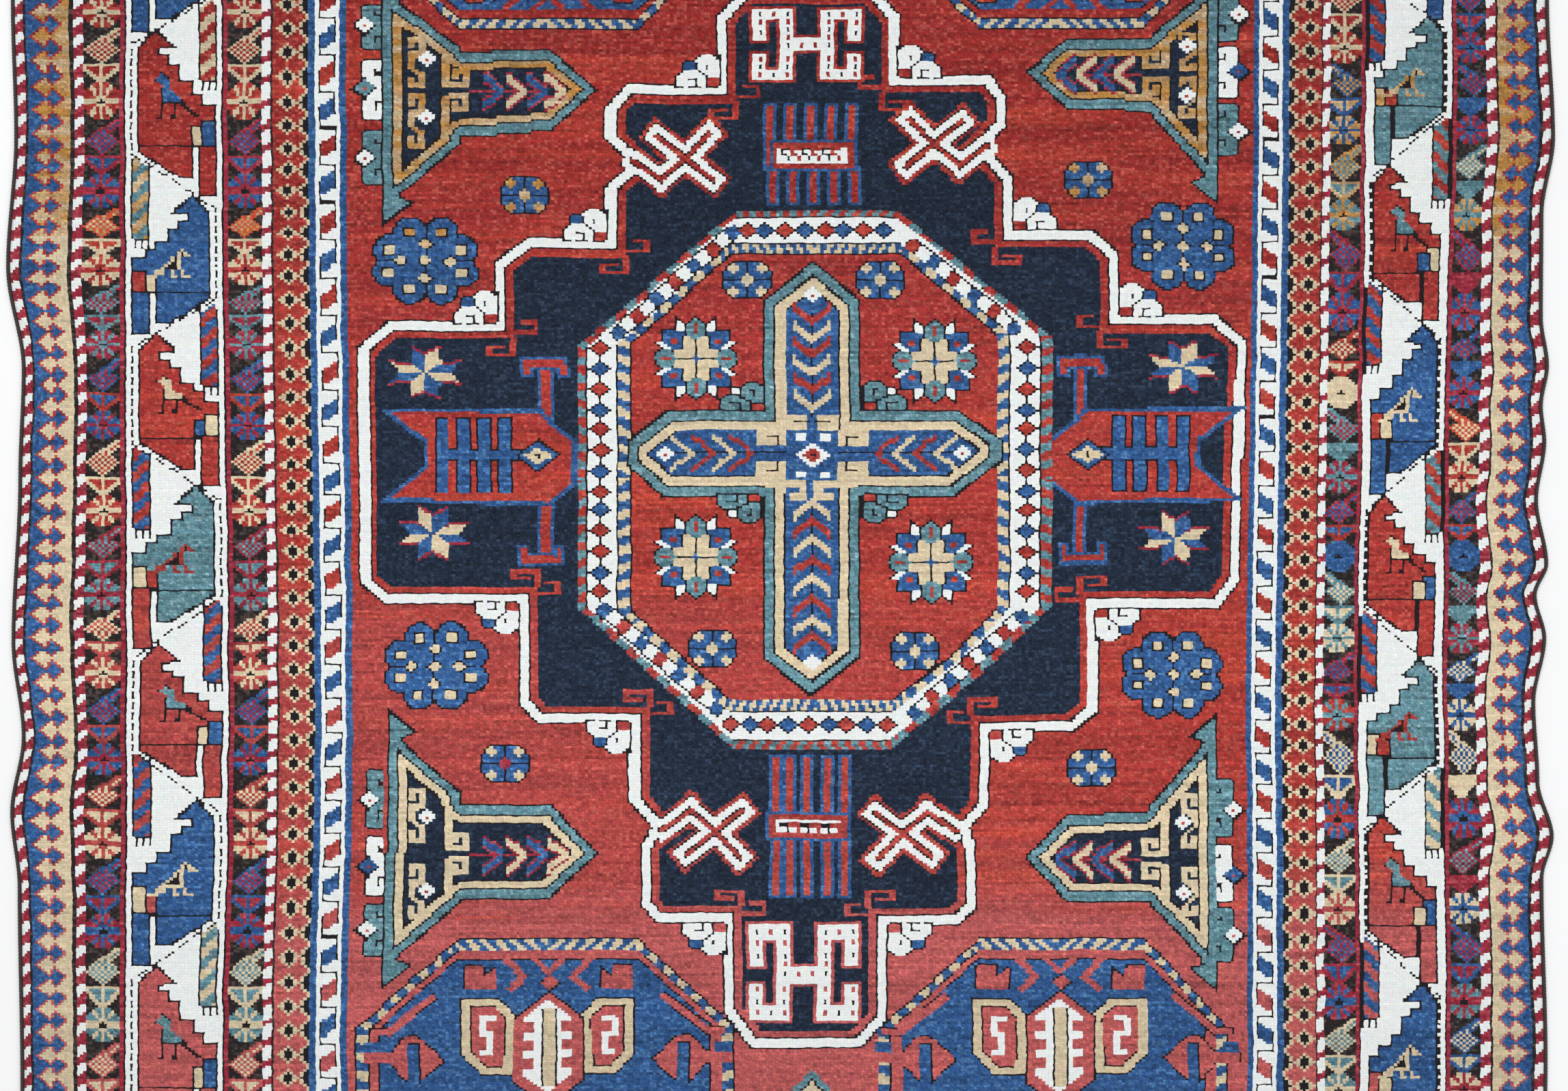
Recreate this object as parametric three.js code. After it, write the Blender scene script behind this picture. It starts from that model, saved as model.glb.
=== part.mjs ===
// A hand-knotted Caucasian rug, lying flat. Its pile reaches from side to side
// between two overcast selvedges, and each end is a narrow plain-woven band.
// Millimetres, +Z up. The rug lies on z = 0 with its length along Y, and the
// origin is under its middle.

import * as THREE from 'three';

// The rug's own sizes
const LENGTH = 2330;
const WIDTH = 1466; // between the sides where they run straight
const PILE_HEIGHT = 7; // from the floor to the tips of the pile
const WEB_HEIGHT = 2.5; // the plain-woven ends, which have no pile
const WEB_LENGTH = 14; // from the last row of knots to the end
const PILE_LEAN = 1.5; // how far the pile draws in at its edges

// The overcast sides: a bundle of warps wrapped with dark wool
const SELVEDGE_WIDTH = 5;
const SELVEDGE_HEIGHT = 5;
const SEAM_GAP = 0.3;

// A section is made this often along the rug, so that the sides run smoothly
const SECTION_STEP = 14;

// Where each side stands out from straight (out above 0) or draws in, going
// from the far end to the near one. along is the distance from the middle.
const LEFT_SIDE = [
  { along: 1165, out: -2.0 },
  { along: 960, out: 3.0 },
  { along: 760, out: -3.0 },
  { along: 610, out: 2.0 },
  { along: 457, out: 4.6 },
  { along: 327, out: 1.3 },
  { along: 202, out: 9.1 },
  { along: 104, out: -5.9 },
  { along: 0, out: -2.6 },
  { along: -157, out: 3.9 },
  { along: -248, out: -5.9 },
  { along: -320, out: 5.2 },
  { along: -392, out: -2.0 },
  { along: -581, out: -4.6 },
  { along: -780, out: 3.0 },
  { along: -980, out: -2.0 },
  { along: -1165, out: 1.0 },
];

const RIGHT_SIDE = [
  { along: 1165, out: 1.0 },
  { along: 940, out: -3.0 },
  { along: 720, out: 4.0 },
  { along: 560, out: -1.0 },
  { along: 457, out: 3.3 },
  { along: 326, out: 9.1 },
  { along: 252, out: -2.0 },
  { along: 154, out: -2.6 },
  { along: 108, out: 3.3 },
  { along: 69, out: -2.6 },
  { along: 35, out: 0.7 },
  { along: -21, out: -7.2 },
  { along: -82, out: 2.6 },
  { along: -112, out: -8.5 },
  { along: -153, out: 0.7 },
  { along: -215, out: -9.8 },
  { along: -290, out: -5.9 },
  { along: -343, out: 7.8 },
  { along: -383, out: -2.0 },
  { along: -558, out: 2.0 },
  { along: -760, out: -4.0 },
  { along: -970, out: 2.0 },
  { along: -1165, out: -1.0 },
];

const WOOL = { roughness: 0.95, metalness: 0 };
const PILE_COLOUR = 0x8f2f30;
const SELVEDGE_COLOUR = 0x2b2321;

// How far a side stands out at y, eased from one row of its table to the next.
function standOut(side, y) {
  const last = side.length - 1;
  if (y >= side[0].along) return side[0].out;
  if (y <= side[last].along) return side[last].out;
  const next = side.findIndex((row) => row.along <= y);
  const from = side[next - 1];
  const to = side[next];
  const share = (from.along - y) / (from.along - to.along);
  return THREE.MathUtils.lerp(from.out, to.out, THREE.MathUtils.smoothstep(share, 0, 1));
}

function leftEdge(y) {
  return -WIDTH / 2 - standOut(LEFT_SIDE, y);
}

function rightEdge(y) {
  return WIDTH / 2 + standOut(RIGHT_SIDE, y);
}

// Places along Y for the sections, evenly spread between two ends.
function stations(from, to) {
  const count = Math.ceil((to - from) / SECTION_STEP);
  return Array.from({ length: count + 1 }, (unused, i) => from + ((to - from) * i) / count);
}

// A closed skin over sections that all have the same number of corners. Each
// section lies across Y, its corners run anticlockwise seen from -Y, and it is
// convex, so that a fan closes each end.
function loft(sections) {
  const corners = sections[0].length;
  const positions = sections.flat().flatMap((point) => point.toArray());
  const at = (section, corner) => section * corners + (corner % corners);
  const faces = [];
  for (let s = 0; s < sections.length - 1; s += 1) {
    for (let c = 0; c < corners; c += 1) {
      faces.push(at(s, c), at(s + 1, c), at(s + 1, c + 1));
      faces.push(at(s, c), at(s + 1, c + 1), at(s, c + 1));
    }
  }
  const end = sections.length - 1;
  for (let c = 1; c < corners - 1; c += 1) {
    faces.push(at(0, 0), at(0, c), at(0, c + 1));
    faces.push(at(end, 0), at(end, c + 1), at(end, c));
  }
  const geometry = new THREE.BufferGeometry();
  geometry.setAttribute('position', new THREE.Float32BufferAttribute(positions, 3));
  geometry.setIndex(faces);
  geometry.computeVertexNormals();
  return geometry;
}

// The rug's section at y: flat below, with its upper edges drawn in.
function rugSection(y, height) {
  const left = leftEdge(y) + SELVEDGE_WIDTH + SEAM_GAP;
  const right = rightEdge(y) - SELVEDGE_WIDTH - SEAM_GAP;
  const lean = Math.min(PILE_LEAN, height / 3);
  return [
    new THREE.Vector3(left, y, 0),
    new THREE.Vector3(right, y, 0),
    new THREE.Vector3(right, y, height - lean),
    new THREE.Vector3(right - lean, y, height),
    new THREE.Vector3(left + lean, y, height),
    new THREE.Vector3(left, y, height - lean),
  ];
}

function rugGeometry() {
  const end = LENGTH / 2;
  const firstRow = end - WEB_LENGTH;
  const fullPile = firstRow - PILE_LEAN;
  return loft([
    rugSection(-end, WEB_HEIGHT),
    rugSection(-firstRow, WEB_HEIGHT),
    ...stations(-fullPile, fullPile).map((y) => rugSection(y, PILE_HEIGHT)),
    rugSection(firstRow, WEB_HEIGHT),
    rugSection(end, WEB_HEIGHT),
  ]);
}

// The selvedge's section at y: a flat-bottomed round bundle. outer is the x of
// its outer edge, and inward is 1 where the rug lies towards +X of it.
function selvedgeSection(y, outer, inward) {
  const middle = outer + (inward * SELVEDGE_WIDTH) / 2;
  const half = SELVEDGE_WIDTH / 2;
  const corners = [
    [-0.6, 0],
    [0.6, 0],
    [1, 0.3],
    [1, 0.65],
    [0.55, 1],
    [-0.55, 1],
    [-1, 0.65],
    [-1, 0.3],
  ];
  return corners.map(([across, up]) => (
    new THREE.Vector3(middle + across * half, y, up * SELVEDGE_HEIGHT)
  ));
}

function selvedgeGeometry(edge, inward) {
  const end = LENGTH / 2;
  return loft(stations(-end, end).map((y) => selvedgeSection(y, edge(y), inward)));
}

function piece(name, geometry, color) {
  const mesh = new THREE.Mesh(geometry, new THREE.MeshStandardMaterial({ color, ...WOOL }));
  mesh.name = name;
  return mesh;
}

const rug = new THREE.Group();
rug.add(piece('rug', rugGeometry(), PILE_COLOUR));
rug.add(piece('selvedge_left', selvedgeGeometry(leftEdge, 1), SELVEDGE_COLOUR));
rug.add(piece('selvedge_right', selvedgeGeometry(rightEdge, -1), SELVEDGE_COLOUR));

export default rug;
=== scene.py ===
"""A hand-knotted Caucasian rug, lying flat and seen from straight above.

The pile is a grid of knots. The design is drawn on that grid first, in columns
across the rug and rows along it, counted from the middle of the field. Then the
grid is made into the pile's surface, with a small face for each knot.
"""
import math

import bpy
import numpy as np
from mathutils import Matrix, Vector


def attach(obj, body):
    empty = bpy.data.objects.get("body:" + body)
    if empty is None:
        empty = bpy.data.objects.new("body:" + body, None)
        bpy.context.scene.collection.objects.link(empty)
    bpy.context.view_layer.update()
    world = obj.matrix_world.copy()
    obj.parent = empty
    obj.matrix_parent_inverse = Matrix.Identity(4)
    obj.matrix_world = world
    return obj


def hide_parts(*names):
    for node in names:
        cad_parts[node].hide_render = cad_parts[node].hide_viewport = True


# Wool colours in red, green and blue of 255, by the letter that the charts use
WOOL = {
    "k": (29, 23, 27),
    "D": (36, 30, 31),
    "N": (26, 37, 55),
    "B": (45, 85, 139),
    "T": (93, 135, 146),
    "R": (172, 66, 62),
    "P": (148, 38, 56),
    "O": (202, 82, 54),
    "G": (192, 138, 70),
    "C": (215, 197, 164),
    "W": (233, 236, 234),
}
LETTERS = "kDNBTRPOGCW"
CODE = {letter: index for index, letter in enumerate(LETTERS)}

# The knots: the grid's size, and the columns of its parts
ROW_PITCH = 2.5  # millimetres along the rug
COLUMN_PITCH = 3.265  # millimetres across it, in the field
ROWS = 921
LEFT_COLUMNS = 102
FIELD_COLUMNS = 266
RIGHT_COLUMNS = 97
COLUMNS = LEFT_COLUMNS + FIELD_COLUMNS + RIGHT_COLUMNS
MIDDLE_ROW = ROWS // 2
AXIS_COLUMN = 238  # runs through the middle of the medallion
END_ROWS = 126  # depth of the borders across the two ends
SEED = 7

# Added to the knots' places, so that none lies right on a shape's edge
NUDGE_X = 0.003
NUDGE_Y = 0.007


class Chart:
    """A grid of knots, drawn on in columns and rows counted from an origin."""

    def __init__(self, rows, columns, origin_row, origin_column, ground):
        self.knots = np.full((rows, columns), CODE[ground], dtype=np.uint8)
        self.origin_row = origin_row
        self.origin_column = origin_column
        self.across = np.arange(columns) - origin_column
        self.along = np.arange(rows) - origin_row

    def window(self, points, margin=2):
        """The part of the grid that the points lie in, as two slices."""
        points = np.asarray(points, dtype=float)
        low = np.floor(points.min(axis=0)).astype(int) - margin
        high = np.ceil(points.max(axis=0)).astype(int) + margin + 1
        rows, columns = self.knots.shape
        left, right = np.clip(np.array([low[0], high[0]]) + self.origin_column, 0, columns)
        near, far = np.clip(np.array([low[1], high[1]]) + self.origin_row, 0, rows)
        return slice(near, far), slice(left, right)

    def inside(self, points, rows, columns):
        """Which knots of a window lie inside a polygon."""
        x = self.across[columns][None, :] + NUDGE_X
        y = self.along[rows][:, None] + NUDGE_Y
        result = np.zeros((y.shape[0], x.shape[1]), dtype=bool)
        for (ax, ay), (bx, by) in zip(points, points[1:] + points[:1]):
            if ay == by:
                continue
            crosses = (ay > y) != (by > y)
            result ^= crosses & (x < (bx - ax) * (y - ay) / (by - ay) + ax)
        return result

    def fill(self, points, colour, only=None):
        """Fill a polygon, or of its knots only those in the wools of only."""
        points = [(float(x), float(y)) for x, y in points]
        rows, columns = self.window(points)
        self.paint(self.inside(points, rows, columns), rows, columns, colour, only)

    def paint(self, mask, rows, columns, colour, only=None):
        part = self.knots[rows, columns]
        if only is not None:
            mask = mask & np.isin(part, [CODE[letter] for letter in only])
        part[mask] = CODE[colour]

    def put(self, x, y, colour):
        row = int(math.floor(y + 0.5)) + self.origin_row
        column = int(math.floor(x + 0.5)) + self.origin_column
        rows, columns = self.knots.shape
        if 0 <= row < rows and 0 <= column < columns:
            self.knots[row, column] = CODE[colour]

    def box(self, left, high, right, low, colour):
        """Fill a block of knots, given its edges."""
        self.fill(four_corners(left, high, right, low), colour)

    def line(self, points, colour):
        """A line one knot wide."""
        for (ax, ay), (bx, by) in zip(points, points[1:]):
            steps = max(int(math.ceil(max(abs(bx - ax), abs(by - ay)))), 1)
            for step in range(steps + 1):
                share = step / steps
                self.put(ax + (bx - ax) * share, ay + (by - ay) * share, colour)

    def distance(self, points, rows, columns):
        """How far, in millimetres, a window's knots lie from a square-ended line."""
        x = self.across[columns][None, :] * COLUMN_PITCH
        y = self.along[rows][:, None] * ROW_PITCH
        nearest = np.full((y.shape[0], x.shape[1]), np.inf)
        scaled = [(px * COLUMN_PITCH, py * ROW_PITCH) for px, py in points]
        for (ax, ay), (bx, by) in zip(scaled, scaled[1:]):
            length = math.hypot(bx - ax, by - ay)
            ux, uy = (bx - ax) / length, (by - ay) / length
            ahead = (x - ax) * ux + (y - ay) * uy
            beyond = np.maximum(np.maximum(-ahead, ahead - length), 0)
            aside = np.abs((x - ax) * uy - (y - ay) * ux)
            nearest = np.minimum(nearest, np.maximum(aside, beyond))
        return nearest

    def stroke(self, points, half_width, colour, only=None):
        """A broad line: everything within half_width millimetres of it."""
        rows, columns = self.window(points, margin=int(half_width / ROW_PITCH) + 3)
        mask = self.distance(points, rows, columns) <= half_width
        self.paint(mask, rows, columns, colour, only)

    def stamp(self, picture, left, top, swap=None, flip=False, turn=False, height=None):
        """Set down a small charted motif, given its left column and top row.

        A full stop leaves a knot as it is. swap changes wools, flip mirrors the
        motif left to right, turn mirrors it top to bottom, and height is the
        number of rows that it is stretched to.
        """
        count = height or len(picture)
        left = int(math.floor(left + 0.5)) + self.origin_column
        top = int(math.floor(top + 0.5)) + self.origin_row
        for step in range(count):
            text = picture[int((step + 0.5) * len(picture) / count)]
            row = top - (count - 1 - step if turn else step)
            if flip:
                text = text[::-1]
            if not 0 <= row < len(self.knots):
                continue
            for place, letter in enumerate(text):
                column = left + place
                if letter == "." or not 0 <= column < self.knots.shape[1]:
                    continue
                letter = swap.get(letter, letter) if swap else letter
                self.knots[row, column] = CODE[letter]


def four_corners(left, high, right, low):
    return [(left, high), (right, high), (right, low), (left, low)]


def inset(points, columns, rows):
    """A polygon drawn in by some columns at its sides and rows at its ends.

    The points run clockwise. Negative amounts draw the polygon outwards.
    """
    lines = []
    for (ax, ay), (bx, by) in zip(points, points[1:] + points[:1]):
        length = math.hypot(bx - ax, by - ay)
        normal = ((by - ay) / length, (ax - bx) / length)
        depth = math.hypot(normal[0] * columns, normal[1] * rows)
        depth = math.copysign(depth, columns)
        lines.append((normal, normal[0] * ax + normal[1] * ay + depth))
    corners = []
    for (n, c), (m, d) in zip(lines[-1:] + lines[:-1], lines):
        cross = n[0] * m[1] - n[1] * m[0]
        corners.append(((c * m[1] - d * n[1]) / cross, (n[0] * d - m[0] * c) / cross))
    return corners


def mirrored(points, flip, turn=1):
    """Points flipped left to right, or turned top to bottom, about the origin.

    flip and turn are 1 or -1. The order is kept clockwise.
    """
    result = [(x * flip, y * turn) for x, y in points]
    return result if flip * turn > 0 else result[::-1]


def moved(points, x, y):
    return [(px + x, py + y) for px, py in points]


def outlined(chart, points, wool, line=1):
    """A patch with a thin black line round it."""
    chart.fill(inset(points, -line, -line), "k")
    chart.fill(points, wool)


# Charts of the borders, with the rug's outer edge at the left. M and S stand for
# a motif's main wool and its second one.
POLE = ["PWW", "WWW", "WWW", "WWP", "WPP", "PPP", "PPP", "PPP"]
INNER_POLE = ["PWW", "WWW", "WWW", "WWW", "WWW", "WWP", "PPP", "PPP"]
TEETH = [
    "BBBBBBBBBBRCC",
    "BBBBRCRBBRCCC",
    "BBBRCCRBRCCCC",
    "BBRCCCCRCCCCC",
    "BRCCCCCCCCCCC",
    "BBRCCCCRCCCCC",
    "BBBRCCRBRCCCC",
    "BBBBRCRBBRCCC",
    "BBBBBRBBBBRCC",
]
ZIGZAG = [
    "RCCkkkCCkkk",
    "RRCkkkCRCkk",
    "RRRCkCRRCkk",
    "RRRRCRRRRCk",
    "RRRRRRRRRRC",
    "RRRRRRRRRRC",
    "RRRRCRRRRCk",
    "RRRCkCRRCkk",
    "RRCkkkCRCkk",
]
HOOKS = [
    ".....Mk.",
    "....MMk.",
    "..MMMMk.",
    ".kMMMMk.",
    ".kMMMMk.",
    ".kMMMMk.",
    ".kMMM...",
    ".kMM....",
    ".k......",
    ".k......",
    ".kkkkkk.",
    "......k.",
    "......k.",
]
ARROW = [
    "MMMMMMMMMMM",
    "MSSSSMSSSSM",
    "MMSSSMSSSMM",
    ".MMSSMSSMM.",
    "..MMSMSMM..",
    "...MMMMM...",
    "....MMM....",
]
STAR = [
    "...MMSMM...",
    "..SMMSMMS..",
    ".MSSMSMSSM.",
    "MMMSMSMSMMM",
    "MMMMSSSMMMM",
    "SSSSSkSSSSS",
    "SSSSkkkSSSS",
    "MMMMSSSMMMM",
    "MMMSMSMSMMM",
    ".MSSMSMSSM.",
    "..SMMSMMS..",
    "...MMSMM...",
]
LEAF = [
    "MM.........",
    "SMM........",
    "MSMM.......",
    ".MSMMM.....",
    "..MMSMM....",
    "...MSMSM...",
    "..MSMSMSM..",
    ".MSMSMSMSM.",
    "MSMSMSMSMSM",
    ".MSMSMSMSM.",
    "..MSMSMSM..",
    "...MSMSM...",
    "....MSM....",
    ".....M.....",
]

# The brown bands. Each triple is a leaf, an arrow and a star, given as their
# main and second wools; its number is the row where its leaf begins.
LEFT_BAND = [
    (299, "BP BP PB"), (266, "CR CR RC"), (233, "PT PT TP"), (205, "CR CR RC"),
    (172, "CR CR RC"), (137, "PB PB BP"), (103, "OG CR CR"), (73, "TP TP PT"),
    (45, "BP RB BP"), (14, "CR CR RC"), (-19, "PT PT TP"), (-51, "CR RC RC"),
    (-81, "BP RB BP"), (-114, "RC RC CR"), (-146, "BP BP PB"), (-180, "CT CT TC"),
    (-216, "RC RC CR"), (-249, "PB PB BP"), (-283, "CR CR RC"), (-316, "TP TP PT"),
]
RIGHT_BAND = [
    (285, "BP BP PB"), (254, "CT CT TC"), (222, "PB PB BP"), (190, "CR CR RC"),
    (158, "BG BG GB"), (127, "GT GT TG"), (94, "PB PB BP"), (56, "RC RC CC"),
    (26, "TP TT PT"), (-6, "PB RB BB"), (-36, "TC TC CT"), (-67, "PB PB RT"),
    (-97, "CB CB BR"), (-138, "CT CT CR"), (-171, "PB PB PB"), (-207, "CT CT TC"),
    (-240, "RC RC CR"), (-272, "BP BP PB"), (-304, "TC TC CT"),
]
RIGHT_OUTER_BAND = [
    (285, "TC TC GT"), (254, "RC RC CR"), (222, "TC TC CT"), (190, "BP BP PB"),
    (158, "BP BB PB"), (127, "TC TT GT"), (94, "PB PP BP"), (56, "BP BB BP"),
    (26, "OC CR CR"), (-6, "BP RB BB"), (-36, "TP TT PT"), (-67, "BC BB CB"),
    (-97, "CB CC PB"), (-138, "PT PP CB"), (-171, "BP BP TP"), (-207, "BC BC CP"),
    (-240, "PB PB PB"), (-272, "TC TC CT"), (-304, "BP BP PB"),
]
BAND_PITCH = 33
LEAF_SHARE = 0.41
ARROW_SHARE = 0.21
REPEATS_TO = 470  # rows from the middle that a border's motifs are carried on to


def carried_on(motifs, count):
    """A list of motifs repeated past both its ends.

    The first count items of each are rows, and shift with the repeat.
    """
    span = motifs[0][0] - motifs[-1][0] + BAND_PITCH
    if count > 1:
        span = motifs[0][0] - motifs[-1][count - 1]
    copies = []
    for shift in (span, 0, -span):
        for motif in motifs:
            rows = tuple(row + shift for row in motif[:count])
            if abs(rows[0]) < REPEATS_TO:
                copies.append(rows + motif[count:])
    return copies


# The weaver's pace: the rows where every sixth repeat of a stripe comes, from the
# far end, on the left side and on the right. Of the hooks it is every second one.
PACES = {
    "outer pole": ((176, 130, 81, 38, -8, -56, -97, -148, -196),
                   (182, 131, 74, 22, -24, -78, -127, -176, -226)),
    "teeth": ((182, 127, 80, 31, -23, -74, -127, -182),
              (178, 125, 72, 18, -35, -87, -143, -198)),
    "pole": ((175, 129, 82, 38, -8, -56, -98, -142, -188),
             (183, 134, 84, 32, -16, -68, -119, -166, -218)),
    "inner pole": ((174, 122, 75, 31, -14, -62, -102, -147, -189),
                   (179, 130, 78, 26, -19, -66, -112, -161, -208)),
    "zigzag": ((181, 126, 77, 22, -28, -82, -136, -193),
               (181, 128, 74, 20, -31, -85, -137, -196)),
    "hooks": ((183, 128, 69, 13, -38, -90, -142, -195),
              (163, 110, 57, 4, -47, -98, -149, -199)),
}


def repeats(along, rows, step):
    """Which repeat of a stripe each row is in, carried on evenly past its table."""
    pitch = (rows[0] - rows[-1]) / (len(rows) - 1)
    beyond = 12
    places = [rows[0] + beyond * pitch, *rows, rows[-1] - beyond * pitch]
    counts = [-beyond * step, *np.arange(len(rows)) * step, (len(rows) - 1 + beyond) * step]
    return np.interp(-along, -np.array(places), counts)


def run(strip, first, picture, pace, phase, step=6, flip=False):
    """Repeat a charted picture along a strip's columns, at a pace from PACES.

    phase is how far down the picture the pace's rows come, as a share of it.
    """
    table = np.array([list(text[::-1] if flip else text) for text in picture])
    place = (repeats(strip.along, pace, step) + phase) % 1
    letters = table[(place * len(table)).astype(int)]
    for letter in set(letters.ravel()) - {"."}:
        rows, columns = np.nonzero(letters == letter)
        strip.knots[rows, columns + first] = CODE[letter]


def band(strip, first, width, triples, unit, stems):
    """A brown band of leaves, arrows and stars, cut to its width."""
    triples = carried_on(triples, 1)
    tops = [row for row, wools in triples] + [triples[-1][0] - BAND_PITCH]
    for number, (top, wools) in enumerate(triples):
        pitch = (top - tops[number + 1]) * unit
        leaf, arrow, star = wools.split()
        leaf_rows = max(round(pitch * LEAF_SHARE), 8)
        arrow_rows = max(round(pitch * ARROW_SHARE), 5)
        star_rows = int(pitch) - leaf_rows - arrow_rows
        start = round(top * unit)
        parts = [
            (LEAF, leaf, start, leaf_rows),
            (ARROW, arrow, start - leaf_rows, arrow_rows),
            (STAR, star, start - leaf_rows - arrow_rows, star_rows),
        ]
        for picture, pair, row, height in parts:
            swap = {"M": pair[0], "S": pair[1]}
            leans = picture is LEAF and stems[number % len(stems)] == "R"
            cut = [text[:width] for text in picture]
            strip.stamp(cut, first, row, swap=swap, flip=leans, height=height)


# The main border's figures. Points are in columns from the figure's upright side
# and rows above its base line; a figure of BODY_ROWS stands above that line.
BODY_ROWS = 43.4
HEAD_ROWS = 9.6
FIGURE_COLUMNS = 22
NECK_AND_STEPS = [
    (4.6, 34.3), (8.0, 34.3), (8.0, 30.8), (11.1, 30.8), (11.1, 24.0), (14.7, 24.0),
    (14.7, 19.5), (18.4, 19.5), (18.4, 15.5), (21.8, 15.5), (21.8, 0.0), (0.0, 0.0),
]
HEAD = [(0.0, 3.6), (4.5, 9.6), (9.3, 4.2), (4.6, 3.4)]  # rows above the neck
HIP = [(0.0, 0.0), (15.4, 0.0), (15.4, -11.9), (11.9, -11.9), (0.3, -2.4)]
TALL_BLOCK = (18.7, 9.7, 21.8, 0.5)
LOW_BLOCK = (15.6, 7.3, 18.4, 0.5)
WING_BIRD = [
    "..k...........",
    "..Mk..........",
    ".MMMk.........",
    "kMMMM.........",
    "..MMM.........",
    "...MM.........",
    "..kMM.........",
    "..kMMM........",
    "..kMMMM.......",
    "..kMMMMM......",
    "..kMMMMMk.....",
    "..kkkkkkkk....",
    "..k...k.kk....",
    "..k...k..kk...",
    "..k...k...kk..",
    "..k...k....kk.",
    "..k..kk.....kk",
    ".kk..kk.......",
]
LINE_BIRD = [
    "...M..........",
    "..MkM.........",
    ".MMkM.........",
    "MMM.MM........",
    "....MkM.......",
    "....MkM.......",
    "....MkkM......",
    "....MkkkM.....",
    "....MkkkkM....",
    "....MMMMMMM...",
    "...M..M..MMM..",
    "...M..M..MMM..",
    ".MMM.MM....MMM",
]
WING_BIRD_ROWS = 28  # from a figure's base line to the top of its bird
LINE_BIRD_ROWS = 20
LEG_ROWS = 31
LEG_STRIPE_ROWS = 4.1
COMB = ["kkkkk", "k.k.k", "k.k.k", "k.k.k"]

# Each figure's head row, its base row and the row where its foot ends, then its
# wools: body, bird, tall block, low block, the leg's two, and foot
LEFT_FIGURES = [
    (345, 306, 287, "RCBCRBR"), (287, 247, 229, "TRCRGTT"), (229, 188, 172, "BCRCCRB"),
    (170.5, 127.1, 108.6, "RBBCGTR"), (106.8, 71.3, 55.9, "BCRCBRB"),
    (53.8, 15.7, -2.9, "RCCBRBR"), (-4.4, -42.3, -64.3, "TRCRRBR"),
    (-64.8, -101.5, -121.8, "RTBCRBR"), (-124.3, -166, -185.4, "BCCRCTB"),
    (-187.7, -232.8, -252, "RTBCGTR"), (-252, -291, -310, "TRCRRBT"),
    (-311, -350, -369, "RCBCRBR"),
]
RIGHT_FIGURES = [
    (352, 312, 293, "BCRCBRB"), (293, 254, 235, "RTBCRTR"), (235, 195, 176, "BCCRRBB"),
    (175.2, 142.1, 120.8, "TGGRRTT"), (118.5, 79, 60.7, "RTCBBRR"),
    (57.2, 14.7, -5.9, "BCRCRTB"), (-7.8, -45.9, -67.1, "RCBCRBR"),
    (-70, -106.1, -128.6, "TRCRTCT"), (-130.3, -170.8, -192.1, "RTBCBRR"),
    (-194.3, -237, -256, "BCRCRTR"), (-258, -297, -316, "RTBCRBR"),
    (-317, -356, -375, "TRCRTCT"),
]


def figure(strip, first, width, facing, row, unit):
    """One figure of the main border, in its place among the strip's columns.

    facing 1 has its upright side at the rug's outer edge, and -1 at the inner.
    """
    top, base, end, wools = row
    body, bird, tall, low, leg_one, leg_two, foot = wools
    stretch = (top - base - HEAD_ROWS) / (BODY_ROWS - HEAD_ROWS)
    narrow = (width - 6) / FIGURE_COLUMNS
    margin = 3 if width < 28 else 4
    side = first + margin - 0.5 if facing > 0 else first + width - margin - 0.5

    def placed(points):
        result = [(side + facing * x * narrow, (base + y) * unit) for x, y in points]
        return result if facing > 0 else result[::-1]

    steps = [(x, y * stretch) for x, y in NECK_AND_STEPS]
    neck = steps[0][1]
    head = [(x, neck + y) for x, y in HEAD]
    outlined(strip, placed(HIP), body)
    outlined(strip, placed([(0, 0)] + head + steps[:-1]), body)
    sole = end - base
    outlined(strip, placed(four_corners(18, 0, 21.8, sole)), foot)
    for (left, high, right, bottom), wool in ((TALL_BLOCK, tall), (LOW_BLOCK, low)):
        outlined(strip, placed(four_corners(left, high * stretch, right, bottom)), wool)
    winged = body in "RP"
    picture = WING_BIRD if winged else LINE_BIRD
    bird_rows = WING_BIRD_ROWS if winged else LINE_BIRD_ROWS
    bird_top = (base + bird_rows * min(stretch, 1)) * unit
    bird_left = side + 4.5 * narrow if facing > 0 else side - 4.5 * narrow - 13
    rows = round(len(picture) * max(unit, 0.8) * (0.85 if stretch < 0.85 else 1))
    strip.stamp(picture, bird_left, bird_top, swap={"M": bird}, flip=facing < 0, height=rows)
    striped_leg(strip, side, facing, base, leg_one + leg_two, unit)


def striped_leg(strip, side, facing, base, wools, unit):
    """The leg under a figure's upright side, with a small comb at its end."""
    left = round(side - 1.8)
    for row in range(round(LEG_ROWS * unit)):
        for column in range(4):
            y = (base - 5) * unit - row
            lean = column if facing > 0 else 3 - column
            if row < lean * 0.9:
                continue
            stripe = int((row + column * 1.2) / (LEG_STRIPE_ROWS * unit))
            strip.put(left + column, y, wools[stripe % 2])
        strip.put(left - 1, (base - 5) * unit - row, "k")
        strip.put(left + 4, (base - 5) * unit - row - 2, "k")
    strip.stamp(COMB, left - 0.5, (base - 5 - LEG_ROWS) * unit)


def dotted(strip, points, colour="k"):
    """A line of single knots, every other one in the ground's wool."""
    count = 0
    for (ax, ay), (bx, by) in zip(points, points[1:]):
        steps = max(int(max(abs(bx - ax), abs(by - ay))), 1)
        for step in range(steps):
            share = step / steps
            count += 1
            if count % 4:
                strip.put(ax + (bx - ax) * share, ay + (by - ay) * share, colour)


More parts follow.
